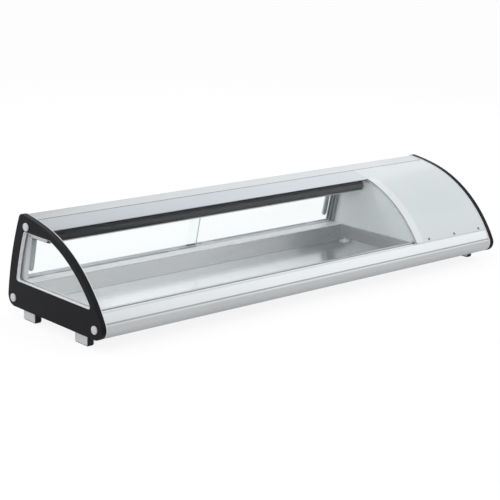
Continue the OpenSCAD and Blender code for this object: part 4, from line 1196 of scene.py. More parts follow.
@dataclass
class Body:
    """Places that the profiles, the glass and the well share."""

    end: float = 0.732  # half the length of the skins between the light strips
    partition: float = 0.412  # where the partition stands
    sheet: float = 0.0015  # thickness of the partition's sheet
    step: float = 0.0025  # how far the skins lie under the cheeks' edge
    wall: float = 0.0022  # wall of the profiles
    play: float = 0.0003  # gap round fitted pieces
    seat: float = 0.100  # height of the glass seat
    groove: float = 0.0728  # height of the front groove
    groove_width: float = 0.0024  # width of the grooves
    rim: float = 0.102  # height of the well's rim
    sill: float = 0.0022  # thickness of the rear sill
    glass: float = 0.005  # thickness of the curved glass
    top_groove: float = 0.094  # place of the groove in the top
    trim: float = 0.0675  # depth of the trim in front of that groove
    shroud: float = 0.041  # place of the shroud
    lean: float = 12.0  # lean of the doors, in degrees
    door: float = 0.173  # place of the doors' foot
    track_pitch: float = 0.012  # distance between two of the three track ribs
    rib: float = 0.002  # thickness of a rib and of the base that joins them
    rib_low: float = 0.148  # where the upper ribs start, up the doors
    track_base: float = 0.160  # where they end in their base

    @property
    def span(self) -> tuple[float, float]:
        """Both ends of the whole skins."""
        return -self.end, self.end

    @property
    def glazed(self) -> tuple[float, float]:
        """Both ends of the glass and its trim."""
        return -self.end, self.partition + self.sheet

    @property
    def chamber(self) -> tuple[float, float]:
        """Both ends of what hangs in the display chamber."""
        return self.play - self.end, self.partition - self.play

    @property
    def shelf(self) -> float:
        """Depth of the shelf and the glass under the cheeks' edge."""
        return self.step + self.wall + self.play

    @property
    def lip(self) -> float:
        """Depth of the lip behind the glass."""
        return self.shelf + self.glass + self.play

    @property
    def front_web(self) -> float:
        """Place of the upright web behind the glass seat."""
        return SECTION.front_at(self.lip + self.wall, self.seat).x + 2 * self.wall

    @property
    def rear_web(self) -> float:
        """Place of the upright web in front of the rear profile."""
        return SECTION.depth / 2 - 2 * SECTION.nose_radius - self.wall

    @property
    def track_half(self) -> float:
        """Half the width over the three track ribs."""
        return self.track_pitch + self.rib / 2

    @property
    def leaned(self) -> Matrix:
        """Matrix from the doors' own upright space to the case."""
        return (Matrix.Translation((0.0, self.door, self.rim + self.sill))
                @ Matrix.Rotation(math.radians(self.lean), 4, "X"))

    def lean_point(self, across: float, up: float) -> Vector:
        """Depth and height of a point of the doors' space."""
        return (self.leaned @ Vector((0.0, across, up))).yz

    def tracks(self, low: float, high: float, base: float) -> list[Workpiece]:
        """Three ribs and the base that joins them.

        Args:
            low: Where the ribs start, up the doors.
            high: Where they end.
            base: Where the base starts.

        Returns:
            The blocks.
        """
        made = [self.plate((i * self.track_pitch - self.rib / 2, low),
                           (i * self.track_pitch + self.rib / 2, high)).soften(Edge.FINE)
                for i in (-1, 0, 1)]
        made.append(self.plate((-self.track_half, base), (self.track_half, base + self.rib)))
        return [part.moved(self.leaned) for part in made]

    def rod(self, centre: Sequence[float], radius: float, bore: float = 0.0) -> Workpiece:
        """A round bar or tube along the whole case.

        Args:
            centre: Depth and height of its middle.
            radius: Its radius.
            bore: Radius of its bore, or zero for a bar.

        Returns:
            The bar or tube.
        """
        bar = Workpiece().circle(centre, radius)
        if bore:
            bar.circle(centre, bore)
        return bar.pull(*self.span).laid(Plane.SECTION)

    def plate(self, low: Sequence[float], high: Sequence[float]) -> Workpiece:
        """A flat bar along the whole case between two corners of its section."""
        return Workpiece().block((-self.end, *low), (self.end, *high))


BODY = Body()


@dataclass
class Extrusion:
    """A profile along the case with a boss for one bolt of each cheek."""

    bolt: tuple[float, float] = (0.0, 0.0)  # place of the cheek bolt
    boss: float = 0.0065  # radius of its boss
    bore: float = 0.003  # radius of the boss's bore

    def tube(self) -> Workpiece:
        """The boss, a tube along the whole case."""
        return BODY.rod(self.bolt, self.boss, self.bore)


@dataclass
class TopProfile(Extrusion):
    """Aluminium top: crown band, groove, shelf, upper door tracks and the trim over the glass."""

    bolt: tuple[float, float] = TOP_BOLT
    groove_floor: float = 0.0002  # how far the groove's floor lies under the band's face

    @property
    def shelf_rear(self) -> float:
        """Where the shelf ends behind the groove."""
        return BODY.top_groove + 3 * BODY.wall

    def band(self) -> Workpiece:
        """The crown band, turned down over the top rear corner to the tracks.

        Returns:
            The band.
        """
        back = SECTION.back(BODY.step)
        low = BODY.lean_point(BODY.track_half, BODY.track_base).y
        path = (Workpiece().start(*SECTION.top_at(BODY.step, BODY.top_groove))
                .arc(SECTION.crown, back.second).arc(back.centre, back.first)
                .arc(SECTION.rear, SECTION.rear_at(BODY.step, low)))
        return path.skin(BODY.span, BODY.wall, Edge.DRAWN)

    def shelf(self) -> Workpiece:
        """The shelf under the trim."""
        path = (Workpiece().start(*SECTION.top_at(BODY.shelf, BODY.shroud))
                .arc(SECTION.front, SECTION.seam(BODY.shelf))
                .arc(SECTION.crown, SECTION.top_at(BODY.shelf, self.shelf_rear)))
        return path.skin(BODY.span, BODY.wall)

    def step(self) -> Workpiece:
        """The step from the band down to the shelf, which is the groove's floor.

        Returns:
            The step.
        """
        front, high = BODY.top_groove + BODY.wall, BODY.step + self.groove_floor
        deep = BODY.shelf + BODY.wall
        path = Workpiece().start(*SECTION.top_at(high, front)).lines(
            SECTION.top_at(high, self.shelf_rear), SECTION.top_at(deep, self.shelf_rear),
            SECTION.top_at(deep, front))
        return path.close().pull(*BODY.span).laid(Plane.SECTION)

    def trim(self) -> Workpiece:
        """The trim, with a rounded lower edge over the glass."""
        path = (Workpiece().start(*SECTION.top_at(BODY.step, BODY.top_groove - BODY.trim))
                .arc(SECTION.front, SECTION.seam(BODY.step))
                .arc(SECTION.crown, SECTION.top_at(BODY.step, BODY.top_groove - BODY.groove_width)))
        return path.skin(BODY.glazed, BODY.wall, Edge.DRAWN)

    def build(self) -> None:
        """Builds and dresses the top."""
        y, z = self.bolt
        inner = BODY.lean_point(BODY.rib / 2 - BODY.track_half, BODY.track_base)
        roof = SECTION.top_at(BODY.step + BODY.wall, y).y
        parts = [self.band(), self.shelf(), self.step().painted(2), self.tube(),
                 BODY.plate((y, z + self.boss - BODY.wall), (inner.x, z + self.boss)),
                 BODY.plate((y - BODY.wall / 2, z + self.boss), (y + BODY.wall / 2, roof))]
        tracks = BODY.tracks(BODY.rib_low, BODY.track_base, BODY.track_base)
        # the upper track ribs take the near-white sill finish, not the crown's anodising: painted
        # light
        profile = together(parts + [part.painted(1) for part in tracks])
        installed(profile, "crown_profile", [Finishes.CROWN, Finishes.PALE_PAINTED_LIGHT, Finishes.GROOVE],
                  "anodised", "top_profile")
        installed(self.trim(), "glass_trim", [Finishes.TRIM], "anodised", "top_trim")


@dataclass
class FrontProfile(Extrusion):
    """Bullnose extrusion: bead, facet, shaded groove, round nose, glass seat and web."""

    bolt: tuple[float, float] = FRONT_BOLT
    nose_step: float = 0.0005  # how far the nose lies under the cheeks' edge
    nose_edge: float = 0.0008  # radius of the nose's edges
    bead: float = 0.0022  # radius of the bead over the facet
    groove_deeper: float = 0.001  # how far the groove's floor lies under the nose's wall
    groove_reach: int = 3  # how far that floor reaches from the groove, in walls
    seat_reach: int = 7  # depth of the glass seat, in walls

    def nose(self) -> Workpiece:
        """The round nose up to the groove.

        Returns:
            The nose.
        """
        corner = SECTION.nose(self.nose_step)
        rise = BODY.groove - BODY.groove_width / 2 - corner.centre.y
        reach = math.sqrt((SECTION.nose_radius - self.nose_step) ** 2 - rise ** 2)
        path = (Workpiece().start(BODY.front_web, corner.second.y).line(*corner.second)
                .arc(corner.centre, corner.centre + Vector((-reach, rise))))
        return path.skin(BODY.span, BODY.wall, self.nose_edge)

    def curved_bar(self, depth: float, wall: float, low: float, high: float) -> Workpiece:
        """A strip that follows the curved front between two heights.

        Args:
            depth: Its depth under the cheeks' edge.
            wall: Its thickness.
            low: Height of its lower edge.
            high: Height of its upper edge.

        Returns:
            The strip.
        """
        path = (Workpiece().start(*SECTION.front_at(depth, low))
                .arc(SECTION.front, SECTION.front_at(depth, high)))
        return path.skin(BODY.span, wall, Edge.DRAWN)

    def build(self) -> None:
        """Builds and dresses the front profile."""
        web, wall, seat, groove = BODY.front_web, BODY.wall, BODY.seat, BODY.groove
        floor = SECTION.foot_height + BODY.step
        bead = SECTION.front_at(BODY.step + self.bead, seat - self.bead)
        low, reach = seat - self.seat_reach * wall, self.groove_reach * wall
        lip = SECTION.front_at(BODY.lip + wall / 2, low).x
        y, z = self.bolt
        parts = [
            self.nose(),
            self.curved_bar(BODY.step, wall, groove + BODY.groove_width / 2, seat - self.bead),
            self.curved_bar(self.nose_step + wall + self.groove_deeper, 2 * wall,
                            groove - reach, groove + reach).painted(1),
            self.curved_bar(BODY.lip, wall, low, seat),
            BODY.rod(bead, self.bead),
            BODY.plate((web - wall, floor), (web, BODY.rim - BODY.sheet)),
            BODY.plate((SECTION.front_at(BODY.step + wall, low).x, low), (lip, low + wall)),
            BODY.plate((lip, low), (web, low + wall)),
            BODY.plate((y, floor), (web, floor + wall)),
            BODY.plate((y + self.boss - wall, z - wall / 2), (web, z + wall / 2)),
            self.tube(),
        ]
        installed(together(parts), "bullnose_profile", [Finishes.ANODISED, Finishes.GROOVE],
                  "anodised", "front_profile")


@dataclass
class RearProfile(Extrusion):
    """Extrusion under the doors: sill, lower tracks, bowed skin and heel."""

    bolt: tuple[float, float] = REAR_BOLT
    well_rear: float = 0.1203  # where the sill starts behind the well
    track_depth: float = 0.008  # depth of the lower tracks under the sill
    rib_top: float = 0.002  # height of their ribs over the sill

    def skin(self) -> Workpiece:
        """The bowed skin, turned round the heel to the web.

        Returns:
            The skin.
        """
        heel = SECTION.heel(BODY.step)
        path = (Workpiece().start(*SECTION.rear_at(BODY.step, BODY.seat - BODY.wall))
                .arc(SECTION.rear, heel.first).arc(heel.centre, heel.second)
                .line(BODY.rear_web, heel.second.y))
        return path.skin(BODY.span, BODY.wall, Edge.DRAWN)

    def build(self) -> None:
        """Builds and dresses the rear profile."""
        wall, web, rim = BODY.wall, BODY.rear_web, BODY.rim
        y, z = self.bolt
        outer = BODY.lean_point(BODY.track_half, -self.track_depth).x - wall
        ledge = BODY.seat - 2 * wall
        # the sill plate and the lower track ribs take the near-white sill finish, lighter than the
        # anodised skin of the same extrusion: painted light
        sill = BODY.plate((self.well_rear + BODY.sill, rim),
                          (BODY.door - BODY.track_pitch, rim + BODY.sill)).soften(Edge.GROUND)
        parts = [
            self.skin(),
            BODY.plate((web, SECTION.foot_height + BODY.step), (web + wall, rim)),
            sill.painted(1),
            BODY.plate((outer, ledge), (SECTION.rear_at(BODY.step + wall, ledge).x, ledge + wall)),
            BODY.plate((web, z - wall / 2), (y - self.boss + wall, z + wall / 2)),
            self.tube(),
        ]
        tracks = BODY.tracks(-self.track_depth, self.rib_top, -self.track_depth - BODY.rib)
        installed(together(parts + [part.painted(1) for part in tracks]), "sill_profile",
                  [Finishes.ANODISED, Finishes.PALE_PAINTED_LIGHT], "anodised", "rear_profile")


@dataclass
class Glazing:
    """The curved front glass."""

    under: float = 0.012  # how far the glass reaches under the trim
    seat_depth: float = 0.0129  # how deep it stands in its seat

    def build(self) -> None:
        """Builds and dresses the glass."""
        top = BODY.top_groove - BODY.trim + self.under
        path = (Workpiece().start(*SECTION.front_at(BODY.shelf, BODY.seat - self.seat_depth))
                .arc(SECTION.front, SECTION.top_at(BODY.shelf, top)))
        sheet = path.sheet(BODY.glazed, BODY.glass).soften(Edge.GROUND)
        centre = SECTION.front.to_3d()

        def is_edge(face: bmesh.types.BMFace) -> bool:
            """True for the narrow faces round the pane.

            Args:
                face: A face of the pane.

            Returns:
                Whether it is one.
            """
            outward = face.calc_center_median() - centre
            outward.z = 0.0
            return abs(face.normal.dot(outward.normalized())) < EDGE_ON

        sheet.painted(1, is_edge).laid(Plane.SECTION)
        installed(sheet, "curved_glass", [Finishes.GLASS, Finishes.GLASS_EDGE], "clear_glass",
                  "front_glass")


@dataclass
class DisplayWell:
    """Pressed steel well with its flange, drain collar and plug."""

    low: tuple[float, float] = (-0.7245, -0.1641)  # left front corner of the well at the rim
    high: tuple[float, float] = (0.4045, 0.1203)  # right rear corner of the well at the rim
    floor: float = 0.060  # height of the floor
    flange: float = 0.006  # width of the flange
    apron: float = 0.005  # how far the flange's front edge is bent down
    sheet: float = 0.0015  # thickness of the sheet
    draft: float = 0.013  # how far the long walls run in at the bottom
    corner: float = 0.0016  # radius of the pressed corners
    drain: tuple[float, float] = (0.379, 0.0803)  # place of the drain
    bore: float = 0.0075  # radius of the drain hole
    dish: float = 0.003  # width of the dished ring round it
    collar: tuple[float, float] = (0.0012, 0.008)  # depths of that ring and of the collar under it
    # half section of the plug over the floor, from the foot of its stem up
    plug_line: tuple[tuple[float, float], ...] = (
        (0.0068, -0.012), (0.0071, -0.010), (0.0071, 0.0), (0.015, 0.0), (0.015, 0.0022),
        (0.0128, 0.0025), (0.0118, 0.0016), (0.0055, 0.0016), (0.004, 0.003), (0.0038, 0.0076),
        (0.0024, 0.0085), (0.0, 0.0085))

    def pressed(self, work: Workpiece) -> None:
        """Presses flange, apron, drafted walls and floor, with rounded corners, into a mesh.

        Args:
            work: The workpiece to press.
        """
        bm = work.bm
        middle = (Vector(self.low) + Vector(self.high)) / 2
        size = Vector(self.high) - Vector(self.low)
        over = Matrix.Diagonal((size.x + 2 * self.flange, size.y + 2 * self.flange, 1, 1))
        bmesh.ops.create_grid(bm, x_segments=1, y_segments=1, size=0.5,
                              matrix=Matrix.Translation((*middle, BODY.rim)) @ over)
        bmesh.ops.inset_region(bm, faces=list(bm.faces), thickness=self.flange, use_boundary=True,
                               use_even_offset=True)
        opening = max(bm.faces, key=lambda f: f.calc_area())
        floor = bmesh.ops.extrude_discrete_faces(bm, faces=[opening])["faces"][0]
        shrink = Matrix.Diagonal(((size.x - self.draft) / size.x,
                                  (size.y - 2 * self.draft) / size.y, 1, 1))
        bmesh.ops.translate(bm, verts=list(floor.verts), vec=(0.0, 0.0, self.floor - BODY.rim))
        bmesh.ops.transform(bm, verts=list(floor.verts), matrix=shrink,
                            space=Matrix.Translation((-middle.x, -middle.y, 0.0)))
        front = min(v.co.y for v in bm.verts)
        edge = [e for e in bm.edges if all(abs(v.co.y - front) < SAME_POINT for v in e.verts)]
        apron = bmesh.ops.extrude_edge_only(bm, edges=edge)["geom"]
        bmesh.ops.translate(bm, verts=verts_in(apron), vec=(0.0, 0.0, -self.apron))
        halfway = (self.floor + BODY.rim) / 2
        work.rounded([e for e in bm.edges if len(e.link_faces) == 2
                      and min(v.co.z for v in e.verts) < halfway], self.corner, 5)

    def tub(self) -> Workpiece:
        """The well with the collar of its drain.

        Returns:
            The well.
        """
        work = Workpiece()
        self.pressed(work)
        bm = work.bm
        bottom = max((f for f in bm.faces if f.calc_center_median().z < self.floor + self.sheet),
                     key=lambda f: f.calc_area())
        loop = list(bottom.edges)
        bmesh.ops.delete(bm, geom=[bottom], context="FACES_ONLY")
        centre = Vector((*self.drain, self.floor))
        ring = bmesh.ops.create_circle(bm, segments=32, radius=self.bore + self.dish,
                                       matrix=Matrix.Translation(centre))["verts"]
        edges = list({e for v in ring for e in v.link_edges})
        bmesh.ops.triangle_fill(bm, use_beauty=True, edges=loop + edges, normal=(0, 0, 1))
        for drop in self.collar:
            pulled = bmesh.ops.extrude_edge_only(bm, edges=edges)["geom"]
            verts = verts_in(pulled)
            edges = [item for item in pulled if isinstance(item, bmesh.types.BMEdge)]
            share = self.bore / (verts[0].co - centre).xy.length
            bmesh.ops.transform(bm, verts=verts, space=Matrix.Translation(-centre),
                                matrix=Matrix.Diagonal((share, share, 1, 1)))
            bmesh.ops.translate(bm, verts=verts, vec=(0, 0, self.floor - drop - verts[0].co.z))
        bmesh.ops.recalc_face_normals(bm, faces=list(bm.faces))
        if sum(f.normal.z * f.calc_area() for f in bm.faces) < 0:
            bmesh.ops.reverse_faces(bm, faces=list(bm.faces))
        bm.normal_update()
        bmesh.ops.solidify(bm, geom=list(bm.faces), thickness=self.sheet)
        return work

    def plug(self) -> Workpiece:
        """The drain plug: a disc with a raised rim, a grip and a stem."""
        place = Matrix.Translation((*self.drain, self.floor + BODY.play))
        return (Workpiece().start(0.0, self.plug_line[0][1]).lines(*self.plug_line).turn()
                .soften(Edge.CUT).moved(place @ Matrix.Rotation(math.pi / 2, 4, "X")))

    def build(self) -> None:
        """Builds and dresses the well."""
        # faces that look to the front, chiefly the rear wall, take the darker copy of the well's
        # steel: painted shade
        tub = self.tub().painted(1, lambda face: face.normal.y < -FACING)
        # the flange's front edge and apron take the near-white sill finish instead of the steel,
        # over the shaded slot in front of the well: painted light
        edge = self.low[1] - self.flange / 2
        tub.painted(2, lambda face: face.calc_center_median().y < edge)
        installed(tub, "steel_well", [Finishes.WELL, Finishes.SHADED_WALL_STEEL, Finishes.PALE_PAINTED_LIGHT], "stainless",
                  "well_liner")
        installed(self.plug(), "well_plug", [Finishes.CAP], "light_plastic", "drain_plug",
                  body="plug")
        dressed(Finishes.PAN, "base_pan")
        dressed(Finishes.FOAM, "base_insulation", "partition_insulation")
        dressed(Finishes.LINING, "drain_pipe", "partition_seal")
        dressed(Finishes.PARTITION, "partition_panel")


@dataclass
class SlidingDoors:
    """Two leaning glass doors with handles, in two posts."""

    low: float = -0.7253  # left end of the opening between the post slots
    high: float = 0.4053  # right end of it
    width: float = 0.5778  # width of a pane
    height: float = 0.158  # height of a pane
    foot: float = -0.005  # where a pane starts, up the doors
    pane: float = 0.005  # thickness of a pane
    handle_width: float = 0.015  # width of a handle
    handle_length: float = 0.118  # length of a handle
    handle_low: float = 0.018  # where a handle starts, up the doors
    handle_in: float = 0.0198  # distance of a handle's middle from the pane's edge
    # thickness of the left and of the right handle
    handle_thick: tuple[float, float] = (0.004, 0.006)
    finger_rim: float = 0.0028  # width of the rim round the finger groove
    finger_slope: float = 0.0008  # width of the groove's sides
    finger_depth: float = 0.0014  # depth of the groove
    grip_angle: float = 0.9  # least angle of a handle's rounded edges, in radians
    post: float = 0.012  # width of a post
    slot: float = 0.0063  # depth of a post's slots
    slot_play: float = 0.0008  # gap on each side of a pane in its slot

    def door(self, start: float, track: int) -> Workpiece:
        """One pane with ground edges.

        Args:
            start: Its left end.
            track: -1 for the inner track and 1 for the outer one.

        Returns:
            The pane.
        """
        middle = track * BODY.track_pitch / 2
        pane = Workpiece().block(
            (start, middle - self.pane / 2, self.foot),
            (start + self.width, middle + self.pane / 2, self.foot + self.height))
        pane.soften(Edge.DRAWN)
        pane.painted(1, lambda face: abs(face.normal.y) < EDGE_ON and face.normal.x > -FACING)
        return pane.moved(BODY.leaned)

    def handle(self, middle: float, track: int, thick: float) -> Workpiece:
        """One handle: a bar with round ends and a sunk finger groove.

        Args:
            middle: Place of its middle along the case.
            track: -1 for the inner track and 1 for the outer one.
            thick: Its thickness.

        Returns:
            The handle.
        """
        half = self.handle_width / 2
        low = Vector((middle, self.handle_low + half))
        high = Vector((middle, self.handle_low + self.handle_length - half))
        across, along = Vector((half, 0.0)), Vector((0.0, half))
        face = track * BODY.track_pitch / 2 + self.pane / 2
        bar = (Workpiece().start(*(low - across)).arc(low, low - along).arc(low, low + across)
               .line(*(high + across)).arc(high, high + along).arc(high, high - across).close())
        bar.pull(-face - thick, -face)
        bar.bm.normal_update()
        outer = [f for f in bar.bm.faces if f.normal.z < -FACING]
        for width, depth in ((self.finger_rim, 0.0), (self.finger_slope, -self.finger_depth)):
            bmesh.ops.inset_region(bar.bm, faces=outer, thickness=width, depth=depth,
                                   use_even_offset=True)
        bar.soften(Edge.GROUND, sharper_than=self.grip_angle)
        return bar.laid(Plane.FRONT).moved(BODY.leaned)

    def upright(self, outer: float, inner: float) -> Workpiece:
        """One post, with a slot for each door.

        Args:
            outer: Its closed side.
            inner: Its slotted side.

        Returns:
            The post.
        """
        back = inner + math.copysign(self.slot, outer - inner)
        half = self.pane / 2 + self.slot_play
        edge = BODY.track_half
        pen = Workpiece().start(outer, -edge).line(inner, -edge)
        for track in (-1, 1):
            middle = track * BODY.track_pitch / 2
            pen.lines((inner, middle - half), (back, middle - half), (back, middle + half),
                      (inner, middle + half))
        pen.lines((inner, edge), (outer, edge)).close()
        low = edge * math.tan(math.radians(BODY.lean)) + BODY.play
        return pen.pull(low, BODY.rib_low).soften(Edge.CLEAN).moved(BODY.leaned)

    def build(self) -> None:
        """Builds and dresses doors, handles, glides and posts."""
        left, right = self.handle_thick
        doors = (("left_door", self.low, -1, self.low + self.handle_in, left),
                 ("right_door", self.high - self.width, 1, self.high - self.handle_in, right))
        for name, start, track, middle, thick in doors:
            installed(self.door(start, track), f"{name}_pane",
                      [Finishes.DOOR_GLASS, Finishes.GLASS_EDGE], "clear_glass", name, body=name)
            installed(self.handle(middle, track, thick), f"{name}_grip", [Finishes.HANDLE],
                      "light_plastic", f"{name}_handle", body=name)
            dressed(Finishes.LINING, f"{name}_glides")
        # both posts are one moulding: the left one wears the pale lining finish as painted light
        # where the cheek shades it, the right one the grey
        posts = [self.upright(-BODY.end, -BODY.end + self.post).painted(1),
                 self.upright(BODY.partition, BODY.partition - self.post)]
        installed(together(posts), "slotted_posts", [Finishes.POST, Finishes.LINING],
                  "dark_plastic", "door_posts")


@dataclass
class Evaporator:
    """Black shroud and bright tray under the top, with the finned coil between them."""

    depth: float = 0.038  # depth of the shroud's profile
    height: float = 0.028  # height of the shroud
    # shares of depth and height along the shroud, from its foot up
    profile: tuple[tuple[float, float], ...] = (
        (0.2, 0.0), (0.06, 0.22), (0.0, 0.45), (0.03, 0.6), (0.2, 0.93), (0.42, 1.0))
    sheet: float = 0.002  # thickness of the shroud's sheet
    bend: float = 0.003  # radius of its bends
    tray: float = 0.22367  # height of the tray
    tray_sheet: float = 0.0012  # thickness of the tray's sheet
    tray_bend: float = 0.0008  # radius of its bends
    lip: float = 0.003  # height of the tray's front lip
    plate_gap: float = 0.003  # gap between the shroud's foot and the plate at the left end
    plate: float = 0.8  # height of that plate, as a share of the shroud's

    def shroud(self) -> Workpiece:
        """The shroud, bent from one sheet and hung on the shelf.

        Returns:
            The shroud.
        """
        low = self.tray + self.tray_sheet + BODY.play
        points = [(BODY.shroud + self.depth * u, low + self.height * v) for u, v in self.profile]
        top = points[-1][0]
        shelf = SECTION.top_at(BODY.shelf + BODY.wall, top).y
        path = Workpiece().start(*points[0]).lines(*points[1:], (top, shelf - BODY.play))
        return path.skin(BODY.chamber, self.sheet, bend=self.bend)

    def pan(self) -> Workpiece:
        """The tray, with its front lip and rear hanger.

        Returns:
            The tray.
        """
        lip = BODY.shroud + 2 * self.tray_sheet
        hook = BODY.lean_point(-BODY.track_half, BODY.track_base)
        rear, floor = hook.x - self.tray_sheet, self.tray + self.tray_sheet
        path = Workpiece().start(lip, self.tray + self.lip).lines(
            (lip, floor), (rear, floor), (rear, hook.y - BODY.play))
        return path.skin(BODY.chamber, self.tray_sheet, bend=self.tray_bend)

    def end_plate(self) -> Workpiece:
        """Pale plate that closes the left end between the shroud and the hanger.

        Returns:
            The plate.
        """
        front = BODY.shroud + self.profile[0][0] * self.depth + self.plate_gap
        rear = BODY.lean_point(-BODY.track_half, BODY.track_base).x - self.tray_sheet
        left, top = BODY.chamber[0], self.tray + self.plate * self.height
        return Workpiece().block((left, front, self.tray),
                                 (left + self.tray_sheet, rear, top)).soften(Edge.CUT)

    def build(self) -> None:
        """Builds and dresses shroud, tray and coil."""
        installed(self.shroud(), "black_shroud", [Finishes.SHROUD], "black_enamel",
                  "evaporator_shroud")
        installed(together([self.pan(), self.end_plate().painted(1)]), "bright_tray",
                  [Finishes.MILL, Finishes.LINING], "raw_aluminium", "drip_tray")
        dressed(Finishes.FINS, "evaporator_fins")
        dressed(Finishes.COPPER, "evaporator_tube")


@dataclass(frozen=True)
class PanHead:
    """A screw with a domed head and a recess, standing on the y axis."""

    shaft: float  # length of its shaft
    core: float = 0.002  # radius of the shaft
    radius: float = 0.004  # radius of its head
    height: float = 0.0016  # height of its head
    lift: float = 0.0001  # gap under the head
    # shares of radius and height from the head's edge to the recess's floor
    dome: tuple[tuple[float, float], ...] = (
        (1.0, 0.0), (1.0, 0.4), (0.75, 1.0), (0.42, 1.0), (0.34, 0.3), (0.0, 0.3))
    edge: float = 0.00015  # radius of its edges

    def made(self) -> Workpiece:
        """The screw.

        Returns:
            The screw, turned as one solid.
        """
        head = [(u * self.radius, self.lift + v * self.height) for u, v in self.dome]
        line = Workpiece().start(0.0, -self.shaft).lines(
            (self.core, -self.shaft), (self.core, self.lift), *head)
        return line.turn(32).soften(self.edge)


@dataclass
class MachineHousing:
    """Curved cover, its light edge strip and screws, and the louvred rear panel."""

    strip: float = 0.030  # width of the light edge strip
    strip_sheet: float = 0.0008  # thickness of that strip
    strip_gap: float = 0.00005  # gap between the strip and the cover
    strip_edge: float = 0.0002  # radius of the strip's edges
    screw_xs: tuple[float, ...] = (0.471, 0.587, 0.703)  # places of the cover's screws
    screw_up: float = 0.006  # height of these screws over the seat
    # length of the shafts of the cover's and of the panel's screws
    screw_shafts: tuple[float, float] = (0.007, 0.0015)
    # left, lower, right and upper edge of the rear panel, up the doors
    panel: tuple[float, float, float, float] = (0.4123, -0.006, 0.7317, 0.158)
    panel_inset: float = 0.011  # distance of its outer screws from its edges
    fan: float = 0.656  # place of the louvres' middle
    louvres: int = 8  # number of louvres
    louvre_pitch: float = 0.010  # distance between them
    louvre_size: tuple[float, float] = (0.120, 0.004)  # length and height of a slot
    louvre_low: float = 0.008  # where the lowest slot lies, up the doors
    # reach of a hood under and over the slot's middle, into and out of the panel
    hood: tuple[float, float, float, float] = (0.0004, 0.0052, 0.0003, 0.0030)
    hood_edge: float = 0.0024  # radius of a hood's outer edges
    # middle x, middle height, width and height of each cut-out
    cutouts: tuple[tuple[float, float, float, float], ...] = (
        (0.500, 0.122, 0.0703, 0.0283), (0.572, 0.122, 0.0203, 0.0283),
        (0.634, 0.122, 0.0283, 0.0223))

    @property
    def start(self) -> float:
        """Left end of cover and strip."""
        return BODY.partition + BODY.sheet + BODY.play

    def cover(self) -> Workpiece:
        """The curved cover from the seat to the top groove."""
        path = (Workpiece().start(*SECTION.front_at(BODY.step, BODY.seat + BODY.play))
                .arc(SECTION.front, SECTION.seam(BODY.step))
                .arc(SECTION.crown, SECTION.top_at(BODY.step, BODY.top_groove - BODY.groove_width)))
        return path.skin((self.start, BODY.end), BODY.sheet, Edge.CLEAN, 2)

    def edge_strip(self) -> Workpiece:
        """The lighter strip along the cover's left edge.

        Returns:
            The strip.
        """
        depth = BODY.step - self.strip_sheet
        path = (Workpiece().start(*SECTION.front_at(depth, BODY.seat + BODY.wall))
                .arc(SECTION.front, SECTION.top_at(depth, BODY.top_groove - BODY.trim)))
        return path.skin((self.start, self.start + self.strip), self.strip_sheet - self.strip_gap,
                         self.strip_edge, 2)

    def cover_screw(self, x: float) -> Workpiece:
        """One screw of the cover, standing on its curve.

        Args:
            x: Its place along the case.

        Returns:
            The screw.
        """
        point = SECTION.front_at(BODY.step, BODY.seat + self.screw_up)
        out = (point - SECTION.front).normalized()
        turn = Vector((0.0, *out)).to_track_quat("Y", "X").to_matrix().to_4x4()
        return PanHead(self.screw_shafts[0]).made().moved(Matrix.Translation((x, *point)) @ turn)

    def louvre_hood(self, x: float, z: float, width: float) -> Workpiece:
        """The pressed hood over one slot.

        Args:
            x: Middle of the slot along the case.
            z: Middle of the slot, up the doors.
            width: Length of the slot.

        Returns:
            The hood.
        """
        face = BODY.track_half + BODY.sheet
        under, over, sunk, proud = self.hood
        hood = Workpiece().block((x - width / 2, z - under, face - sunk),
                                 (x + width / 2, z + over, face + proud))
        hood.soften(self.hood_edge, 4, only=lambda e: max(v.co.z for v in e.verts) > face)
        hood.moved(Plane.FRONT.value @ Matrix.Diagonal((1, 1, -1, 1)))
        bmesh.ops.recalc_face_normals(hood.bm, faces=list(hood.bm.faces))
        return hood

    def rear_panel(self) -> Workpiece:
        """The rear panel with its cut-outs, slots and pressed louvre hoods.

        Returns:
            The panel.
        """
        left, low, right, high = self.panel
        slots = [(self.fan, self.louvre_low + i * self.louvre_pitch, *self.louvre_size)
                 for i in range(self.louvres)]
        pen = Workpiece().rectangle(left, low, right, high)
        for x, z, width, height in (*self.cutouts, *slots):
            pen.rectangle(x - width / 2, z - height / 2, x + width / 2, z + height / 2)
        pen.pull(-BODY.track_half - BODY.sheet, -BODY.track_half).soften(Edge.CUT)
        hoods = [self.louvre_hood(x, z, width) for x, z, width, _ in slots]
        return together([pen.laid(Plane.FRONT), *hoods]).moved(BODY.leaned)

    def rear_screws(self) -> Iterable[Workpiece]:
        """The six screws of the rear panel.

        Returns:
            The screws, one by one.
        """
        xs = (BODY.partition + self.panel_inset, (BODY.partition + BODY.end) / 2,
              BODY.end - self.panel_inset)
        face = BODY.track_half + BODY.sheet
        return (PanHead(self.screw_shafts[1]).made()
                .moved(BODY.leaned @ Matrix.Translation((x, face, up)))
                for x in xs for up in (-BODY.rib, BODY.rib_low + 2 * BODY.rib))

    def build(self) -> None:
        """Builds and dresses the housing."""
        cover_screws = together(self.cover_screw(x) for x in self.screw_xs)
        for work, name, finish, slot, node in (
                (self.cover(), "curved_cover", Finishes.COVER, "painted_sheet", "machine_cover"),
                (self.edge_strip(), "cover_light_strip", Finishes.STRIP, "light_plastic",
                 "cover_edge_strip"),
                (cover_screws, "cover_pan_heads", Finishes.SCREW, "screw_steel", "cover_screws"),
                (self.rear_panel(), "louvred_panel", Finishes.COVER, "painted_sheet",
                 "machine_rear_panel"),
                (together(self.rear_screws()), "panel_pan_heads", Finishes.SCREW, "screw_steel",
                 "rear_panel_screws")):
            installed(work, name, [finish], slot, node)
        dressed(Finishes.MILL, "cover_rail")


